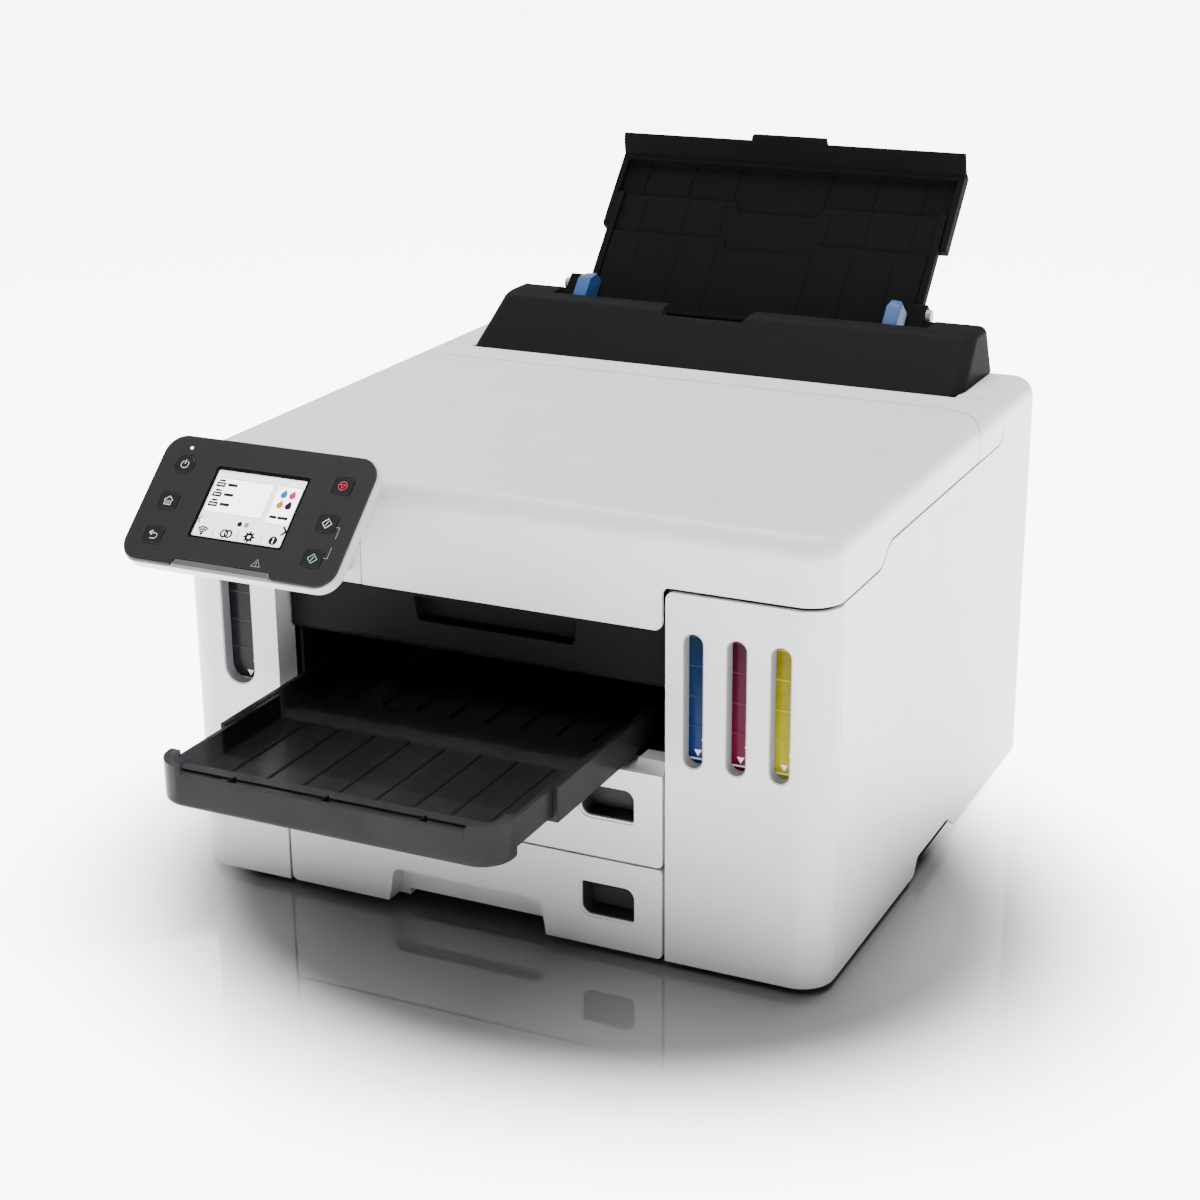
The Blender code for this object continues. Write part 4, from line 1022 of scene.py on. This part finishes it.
def key_icons():
    """Generic signs for the keys, each as thin strokes: name to (shapes, material)."""
    power, home, back, stop = (KEYS[name] for name in ("power", "home", "back", "stop"))
    start, turn, middle, end = around(back, (-2.6, 1), (1, 1), (1, -0.7), (-1.2, -2.4))
    signs = {
        "power": (
            stroke(bow(power, 2.3, 125, 415, 18), 0.34)
            + stroke(around(power, (0, 0.4), (0, 3.0)), 0.34),
            MARK_WHITE,
        ),
        "home": (
            stroke(around(home, (-2.7, 0.3), (0, 2.8), (2.7, 0.3)), 0.34)
            + stroke(around(home, (-2, 0), (-2, -2.5), (2, -2.5), (2, 0)), 0.34)
            + stroke(around(home, (-0.7, -1.5), (0.7, -1.5), (0.7, -0.1), (-0.7, -0.1)), 0.2, True),
            MARK_WHITE,
        ),
        "back": (
            stroke([start, turn, *bow(middle, 1.7, 90, -90, 10), end], 0.4)
            + stroke(around(back, (-1.0, 2.3), (-2.6, 1), (-1.0, -0.3)), 0.4),
            MARK_WHITE,
        ),
        "stop": (
            stroke(bow(stop, 2.6, 0, 345, 24), 0.3, True)
            + stroke(around(stop, (-1.5, 0.9), (1.5, 0.9), (0, -1.6)), 0.26, True),
            MARK_RED,
        ),
    }
    for name, material in (("black_start", MARK_WHITE), ("colour_start", MARK_GREEN)):
        rhomb = around(KEYS[name], (-2.9, 0), (0, 2.9), (2.9, 0), (0, -2.9))
        bar = around(KEYS[name], (-0.5, -1.2), (0.5, 1.2))
        signs[name] = (stroke(rhomb, 0.32, True) + stroke(bar, 0.34), material)
    return signs


def panel_keys():
    signs = key_icons()
    for name in KEYS:
        button = f"{name}_button"
        piece(
            f"{name}_key", prism(key_outline(name), "Y", -0.3, 3.6), KEY_BLACK, button, [button],
            "gloss_black", PANEL, edge=0.35,
        )
        shapes, material = signs[name]
        piece(f"{name}_sign", shapes, material, button, space=PANEL, edge=0)
    on_face = (-0.06, 0.1)
    x, row = KEY_X + 8.4, KEY_ROWS
    marks = []
    for line in (
        [(x - 2, row[1] - 1.4), (x, row[1] - 1.4), (x, row[1] - 8.2)],
        [(x, row[2] + 8.2), (x, row[2] + 1.4), (x - 2, row[2] + 1.4)],
    ):
        marks += stroke(line, 0.3, depth=on_face)
    marks += stroke([(16.4, -33.8), (21.8, -33.8), (19.1, -29.4)], 0.24, True, on_face)
    marks += stroke([(19.1, -31.0), (19.1, -32.4)], 0.3, depth=on_face)
    marks += [prism(circle((19.1, -33.0), 0.25, 16), "Y", *on_face)]
    piece("panel_marks", marks, MARK_GREY, "panel", space=PANEL, edge=0)
    lamp = prism(circle((-51.2, 32.3), 1.0, 32), "Y", -0.05, 0.5)
    piece("power_lamp", lamp, lit("lamp_white", (1, 1, 1), 3.0), "panel", space=PANEL, edge=0)


def screen_layer(name, shapes, colour, strength=0.3):
    light = lit(f"{name}_light", colour, strength)
    piece(name, shapes, light, "panel", space=PANEL, edge=0)


def drop(centre, size, depth):
    x, z = centre
    points = bow((x, z - size * 0.25), size, -215, 35, 20)
    return prism([*points, (x + size * 0.35, z + size * 1.5)], "Y", *depth)


def dot(centre, radius, sides, depth):
    return prism(circle(centre, radius, sides), "Y", *depth)


def screen():
    glass = plate(grown(SCREEN, -1), 0.8, (0.85, 4.4), 4)
    piece(
        "screen_glass", glass, lit("screen_ground", (0.80, 0.81, 0.83), 1.1), "panel",
        ["lcd_screen"], "screen_glass", PANEL, edge=0.1,
    )
    tiles = ((-27.6, 9.6, -5.0, 17.0), (12.0, 28.0, -7.0, 17.0))
    rims = [plate(tile, 1.2, (0.8, 0.9), 5) for tile in tiles]
    screen_layer("screen_tile_rims", rims, (0.30, 0.31, 0.32), 0.1)
    tiles = ((-27.3, 9.3, -4.7, 16.7), (12.3, 27.7, -6.7, 16.7))
    faces = [plate(tile, 1.0, (0.75, 0.9), 5) for tile in tiles]
    screen_layer("screen_tiles", faces, (0.95, 0.95, 0.96), 2.6)
    top, over_top = (0.68, 0.9), (0.62, 0.7)
    for name, colour, centre in (
        ("cyan", (0.0, 0.13, 0.45), (17.4, 12.0)), ("magenta", (0.50, 0.0, 0.12), (22.8, 12.0)),
        ("amber", (0.55, 0.17, 0.0), (17.4, 5.4)), ("black", (0.02, 0.01, 0.02), (22.8, 5.4)),
    ):
        screen_layer(f"drop_{name}", [drop(centre, 2.0, top)], colour)
    tray_rows = (13.0, 6.8, 0.6)
    page, other_page, wifi, gear, info = (
        (-1.6, -9.8), (2.8, -9.8), (-22.5, -18.8), (7.3, -16.6), (22.5, -16.6),
    )
    dark = []
    for row in tray_rows:
        dark += [plate((-26.4, -20.6, row - 1.9, row + 1.1), 0.5, top, 3)]
        dark += stroke([(-25.0, row + 2.2), (-22.0, row + 2.2)], 1.2, depth=top)
        dark += stroke([(-18.4, row), (-13.8, row)], 1.8, depth=top)
    for left, right in ((14.8, 18.0), (20.0, 25.0)):
        dark += stroke([(left, -2.6), (right, -2.6)], 1.7, depth=top)
    dark += [dot(page, 1.5, 28, top)]
    dark += stroke([(25.8, -7.8), (28.0, -10.2), (25.8, -12.6)], 1.1, depth=top)
    for radius in (1.5, 2.9, 4.3):
        dark += stroke(bow(wifi, radius, 45, 135, 8), 0.8, depth=top)
    dark += [dot(wifi, 0.75, 16, top)]
    for centre, radius, width in (
        ((-8.6, -16.6), 2.1, 0.85), ((-6.0, -16.6), 2.1, 0.85), (gear, 1.8, 1.3),
    ):
        dark += stroke(bow(centre, radius, 0, 345, 20), width, True, top)
    for tooth in range(8):
        angle = math.radians(45 * tooth)
        ray = around(gear, *((far * math.cos(angle), far * math.sin(angle)) for far in (2.2, 3.1)))
        dark += stroke(ray, 1.0, depth=top)
    dark += [dot(info, 2.6, 32, top)]
    screen_layer("screen_signs", dark, (0.012, 0.012, 0.015), 0.0)
    pale = [dot((22.5, -15.4), 0.45, 12, over_top)]
    pale += stroke([(22.5, -16.2), (22.5, -18.2)], 0.6, depth=over_top)
    for row in tray_rows:
        pale += stroke([(-25.2, row - 0.4), (-21.8, row - 0.4)], 0.7, depth=over_top)
    screen_layer("screen_sign_dot", pale, (0.95, 0.95, 0.96), 0.7)
    grey = [dot(other_page, 1.5, 28, top)]
    grey += stroke([(-26.4, -8.2), (-28.0, -10.2), (-26.4, -12.2)], 0.8, depth=top)
    for x in (-15.6, 0.2, 15.0):
        grey += stroke([(x, -18.6), (x, -14.6)], 0.35, depth=top)
    screen_layer("screen_grey_signs", grey, (0.22, 0.22, 0.24), 0.2)


def panel_bracket():
    hinge = next(joint for joint in frame["joints"] if joint["name"] == "panel_tilt")["pos_m"]
    y, z = hinge[1] / MM - FACE, hinge[2] / MM
    low, high = cad("panel_bracket")
    left, right, top = low.x, high.x, SKIRT_LOW - GAP
    arm = [(1.5, 206), (1.5, 228), (-10, 244), (y + 4.4, z), *bow((y, z), 4.4, 20, 180, 14)]
    arm += [(y - 4.0, z - 6), (-15, 228), (-6, 206)]
    piece(
        "bracket", block((left, right), (0, 16), (low.z, top)), WHITE, "body", ["panel_bracket"],
        "white_plastic", add=[prism(arm, "X", -130, -121), prism(arm, "X", -93, -84)],
        cut=[block((left + 2.5, right - 2.5), (WALL, 20), (low.z + 2.5, top + 5))],
    )
    piece("bracket_pin", rod("X", (y, z), 1.5, -129.5, -84.5, 24), SHAFT_STEEL, "body", edge=0)


# ---- rear feed


def hump():
    low, high, rear = HUMP_LOW, HUMP_HIGH, 371.0
    bm = block((-170.5, 170.5), (302, rear), (low, high))
    for vert in bm.verts:
        if vert.co.z > (low + high) / 2 * MM:
            vert.co.x = math.copysign(166 * MM, vert.co.x)
            if vert.co.y < 330 * MM:
                vert.co.y = 341 * MM
    soften(bm, lambda a, b: upright(a, b) and max(a.y, b.y) < rear - 5, 10, 12)
    soften(bm, lambda a, b: min(a.z, b.z) > high - 0.1 and min(a.y, b.y) < rear - 1, 4.5, 8)
    opening = [(352, 257), (360, 257), (360, 252), (380, 252), (380, 300), (352, 300)]
    notch = outline(
        (-47, high + 4), (-43, high - 5.5, 2.5), (12, high - 5.5, 2.5), (19, high + 4), steps=6
    )
    ring = block((-165, 165), (308, rear - GAP), (240, low + 2.7))
    inside_low = block((-162, 162), (311, 367.5), (238, 262))
    inside_high = block((-157, 157), (311, 367), (261.5, high - 3))
    for vert in inside_high.verts:
        if vert.co.z > 275 * MM and vert.co.y < 330 * MM:
            vert.co.y = 343 * MM
    shell = carved(
        bm, add=[ring],
        cut=[inside_low, inside_high, prism(opening, "X", -133, 133), prism(notch, "Y", 330, 353)],
    )
    piece("hump_shell", shell, HUMP_BLACK, "body", ["hopper_housing"], "black_plastic")
    places = [-44 + 2.4 * step for step in range(24)]
    ledge = bars(places, (0, 1.2), (344, 351.5), (high - 6.2, high - 4.6))
    piece("hump_ledge_ribs", ledge, BLACK, "body", edge=0)


def pivot_blocks():
    for name, inner, outer, side in (("left", -120.4, -129.0, -1), ("right", 117.0, 125.6, 1)):
        foot = sorted((inner, side * 135.5))
        boss = sorted((outer - side, outer + side * 3.4))
        body = block(sorted((inner, outer)), (-9, -0.2), (-16, 5.5))
        soften(body, lambda a, b: abs(a.x - b.x) > 1 and a.z > 0, 2, 6)
        piece(
            f"{name}_pivot_block", body, BLACK, "body", space=SUPPORT,
            add=[block(foot, (-8, -0.4), (-14, -6.5))],
        )
        knob = rod("X", (-4.5, -1), 4.2, *boss)
        piece(f"{name}_pivot_knob", knob, GREY, "body", space=SUPPORT, edge=0.6)


def stage_ribs(x_values, depth, low, high):
    return bars(x_values, (-0.7, 0.7), depth, (low, high))


def paper_support():
    notch = outline((-33, 54), (-29, 39, 3), (29, 39, 3), (33, 54))
    piece(
        "support_lower", block((-113.5, 113.5), (1.6, 3.8), (-62, 46.8)), BLACK, "body",
        ["support_base"], "black_plastic", SUPPORT,
        add=stage_ribs((-92, -62, -34, 34, 62, 92), (1.0, 2), -60, 45),
        cut=[prism(notch, "Y", 0, 5)],
    )
    notch = outline((-33, 84), (-29, 70, 3), (29, 70, 3), (33, 84))
    face = outline((-119, 10, 2), (119, 10, 2), (119, 77.8, 3), (-119, 77.8, 3))
    piece(
        "support_middle", prism(face, "Y", 0.6, 7.2), BLACK, "support_mid", ["support_mid"],
        "black_plastic", SUPPORT,
        cut=[block((-114.2, 114.2), (-1, 4.8), (5, 83)), prism(notch, "Y", 3, 8)],
    )
    ribs = stage_ribs((-98, -66, -38, 38, 66, 98), (4.3, 5.2), 14, 75)
    piece("support_middle_ribs", ribs, BLACK, "support_mid", space=SUPPORT, edge=0)
    half = 124.0
    sides = outline((51.5, 2.2, 2.5), (51.5, 11, 2.5), (112, 11, 1.2), (112, 2.2, 1.2))
    piece(
        "support_upper", prism([(y, z) for z, y in sides], "X", -half, half), BLACK,
        "support_top", ["support_top"], "black_plastic", SUPPORT,
        cut=[block((-119.7, 119.7), (-1, 7.8), (45, 105))],
    )
    tab_side = [(0, 112.5), (-8.6, 123.5), (-10.6, 123.2), (-10.6, 120.8), (-2, 112.5)]
    tab_face = outline((-34, 105), (-28, 119, 3), (-25, 130), (25, 130), (27.4, 119, 3), (31, 105))
    tab = carved(prism(tab_side, "X", -34, 31), keep=[prism(tab_face, "Y", -12, 3)])
    piece("support_tab", tab, BLACK, "support_top", space=SUPPORT, edge=0.6)
    flange = [(6, 107.6), (6, 111.4), (0.5, 114.2), (-4, 117.9), (-6.3, 120.3), (-7.7, 119.8)]
    flange += [(-7.6, 118.3), (-5.4, 115.6), (-1.6, 112.0), (2.3, 109.0)]
    ends = outline(
        (-half, 100), (half, 100), (half, 114.5, 2), (half - 0.8, 130), (-half + 0.8, 130),
        (-half, 114.5, 2),
    )
    piece(
        "support_flange", prism(flange, "X", -half, half), BLACK, "support_top", space=SUPPORT,
        keep=[prism(ends, "Y", -20, 20)],
    )
    ribs = stage_ribs((-104, -70, -36, 30, 64, 98), (6.9, 7.9), 56, 104)
    piece("support_upper_ribs", ribs, BLACK, "support_top", space=SUPPORT, edge=0)


def paper_guides():
    for name, side in (("left", -1), ("right", 1)):
        near = -4.0 + side * 105.5
        far = near + side * 9.5
        profile = outline(
            (near, -24), (far, -24, 1), (far, 1.0, 1), (near + side * 7, 5, 1), (near, 6, 1)
        )
        slant = prism([(-17, 8), (-17, -3), (-8, 8)], "X", near - 12, near + 12)
        piece(
            f"{name}_guide", prism(profile, "Y", -16.5, -0.3), BLUE, f"{name}_guide",
            [f"{name}_paper_guide"], "blue_plastic", SUPPORT, cut=[slant],
        )


# ---- back


def rear():
    low, high = cad("rear_cover")
    door = (low.x, high.x, low.z, high.z)
    vents = bars(
        [*range(-120, -40, 8), *range(40, 120, 8)], (0, 3), (370, DEPTH + 2), (212, 238)
    )
    piece(
        "rear_shell", body_outside(), WHITE, "body", ["rear_panel"], "white_plastic",
        keep=[block((-168, 168), (371.3, DEPTH + 2), (4, TOP))],
        cut=[
            block((-173, 173), (300, DEPTH - WALL), (0, 250)),
            plate(grown(door, 0.3), 2, (365, 390), 4),
            block((119.7, 148.3), (365, 390), (24.7, 46.3)),
            *vents,
        ],
    )
    grooves = bars(range(-100, 100, 25), (0, 1.2), (DEPTH - 2.2, DEPTH - 1.2), (70, 160))
    recess = plate((-40, 25, 168, 184), 6, (DEPTH - 1.6, DEPTH + 2))
    piece(
        "rear_door", plate(door, 1.7, (DEPTH - WALL, DEPTH), 4), BLACK, "rear_cover",
        ["rear_cover"], "black_plastic", cut=[recess, *grooves],
    )
    piece(
        "inlet", cad_block("power_inlet"), BLACK, "body", ["power_inlet"], "black_plastic",
        cut=[plate((125, 143, 29, 42), 4, (360, DEPTH + 2))],
    )
    pins = [rod("Y", (x, 35.5), 1.2, 359, 374, 20) for x in (131, 137)]
    piece("inlet_pins", pins, SHAFT_STEEL, "body", edge=0.3)


def feet():
    for place in ("front_left", "front_right", "rear_left", "rear_right"):
        low, high = cad(f"{place}_foot")
        centre = ((low.x + high.x) / 2, (low.y + high.y) / 2)
        pad = rod("Z", centre, (high.x - low.x) / 2, 0, high.z, 48)
        piece(f"{place}_pad", pad, RUBBER, "body", [f"{place}_foot"], "rubber", edge=0.8)


# ---- CAD nodes kept


KEPT = {
    "base_plate": BLACK, "hopper_chute": BLACK, "chassis_frame": STEEL,
    "carriage_shaft": SHAFT_STEEL, "print_carriage": BLACK, "print_head": GREY,
    "drive_pulley": GREY, "idler_pulley": GREY, "timing_belt": RUBBER, "carriage_motor": STEEL,
    "feed_motor": STEEL, "feed_roller": RUBBER, "exit_roller": RUBBER, "platen": BLACK,
    "capping_station": GREY, "maintenance_cartridge": GREY, "main_board": BOARD,
    "power_supply": BLACK,
}


def finish_kept_nodes():
    for name, material in KEPT.items():
        node = frame["nodes"][name]
        node.data.materials.clear()
        node.data.materials.append(material)
        bevelled(node, 0.35)


# ---- studio


def area_light(name, place, aim, size, power):
    lamp = bpy.data.lights.new(name, "AREA")
    lamp.shape = "RECTANGLE"
    lamp.size, lamp.size_y = size
    lamp.energy = power
    obj = added(name, lamp)
    obj.location = place
    obj.rotation_euler = (Vector(aim) - Vector(place)).to_track_quat("-Z", "Y").to_euler()


def floor_with_painted_shade():
    """Pale glossy sheet on a light table: dim under the printer, bright further away. Its dark
    colour near the printer is painted shade round the base.
    """
    nodes = Nodes("studio_white")
    cloud = nodes.spread(nodes.noise(3.0), 0.0, 1.0)
    # painted shade: the floor's own colour is dark near the printer, and pale only where the glow
    # takes over
    near = nodes.blend(cloud, (0.14, 0.14, 0.14), (0.16, 0.16, 0.16))
    nodes.drive("Roughness", nodes.spread(nodes.noise(5.0), 0.035, 0.06))
    nodes.hold("Specular IOR Level", 0.8)
    distance = nodes.add("ShaderNodeVectorMath", operation="LENGTH")
    flat = nodes.mapped(Location=(-0.03, 0.088, 0.0), Scale=(0.9, 1.1, 0.0))
    nodes.link(flat, distance.inputs["Vector"])
    glow = nodes.spread(
        distance.outputs["Value"], 0.0, 1.0, GLOW_START, GLOW_END,
        interpolation_type="SMOOTHSTEP",
    )
    nodes.drive("Base Color", nodes.blend(glow, near, (0.9, 0.9, 0.9)))
    nodes.drive("Emission Strength", nodes.compute("MULTIPLY", glow, GLOW_STRENGTH))
    nodes.hold("Emission Color", (1, 1, 1, 1))
    return nodes.material


def studio():
    reach = (-FLOOR_REACH, FLOOR_REACH)
    mesh = as_mesh(block(reach, reach, (-20, 0)), "studio_floor")
    obj = added("studio_floor", mesh)
    mesh.materials.append(floor_with_painted_shade())
    world = bpy.data.worlds.new("studio")
    bpy.context.scene.world = world
    world.use_nodes = True
    ground = world.node_tree.nodes["Background"]
    ground.inputs["Color"].default_value = (1, 1, 1, 1)
    ground.inputs["Strength"].default_value = 0.3
    area_light("key", (0.3, -1.4, 2.2), (0, 0, 0.1), (1.4, 1.0), 24)
    area_light("left", (-1.5, 1.5, 1.7), (0, 0, 0.2), (1.2, 1.0), 18)
    area_light("top", (0.0, 0.75, 2.5), (0, 0.05, 0.2), (2.2, 1.8), 168)


def camera():
    """A long lens from the front right, a little above, with a slight roll."""
    azimuth, height, roll = math.radians(25.56), math.radians(19.67), math.radians(-0.43)
    away = 1.41192
    level = math.cos(height)
    back = Vector((math.sin(azimuth) * level, -math.cos(azimuth) * level, math.sin(height)))
    right = Vector((math.cos(azimuth), math.sin(azimuth), 0))
    up = back.cross(right)
    turned_right = right * math.cos(roll) + up * math.sin(roll)
    turned_up = up * math.cos(roll) - right * math.sin(roll)
    target = BODY @ (Vector((-1.94, 150, 151.53)) * MM)
    axes = Matrix((turned_right, turned_up, back)).transposed().to_4x4()
    lens = bpy.data.cameras.new("camera")
    lens.lens = 70.08
    lens.sensor_width = 36
    lens.clip_start = 0.05
    obj = added("camera", lens)
    obj.matrix_world = Matrix.Translation(target + back * away) @ axes
    bpy.context.scene.camera = obj


camera()
studio()
top_cover()
rear_top_cover()
side_shell("right_side", "right_side_shell", 1, RIGHT_LOW)
side_shell("left_side", "left_side_shell", -1, SKIRT_LOW)
tank_covers()
tanks()
front_fascia()
output_duct()
for label, low_z, high_z, handle in (
    ("upper", 60.3, 121.0, (84.6, 103.0)), ("lower", BOTTOM, 59.7, (24.0, 44.0)),
):
    cassette(label, low_z, high_z, handle, f"{label}_cassette")
    cassette_tray(label, f"{label}_cassette")
output_tray()
tray_extension()
panel_plate()
panel_keys()
screen()
panel_bracket()
hump()
pivot_blocks()
paper_support()
paper_guides()
rear()
feet()
seam_shade_rim()
finish_kept_nodes()
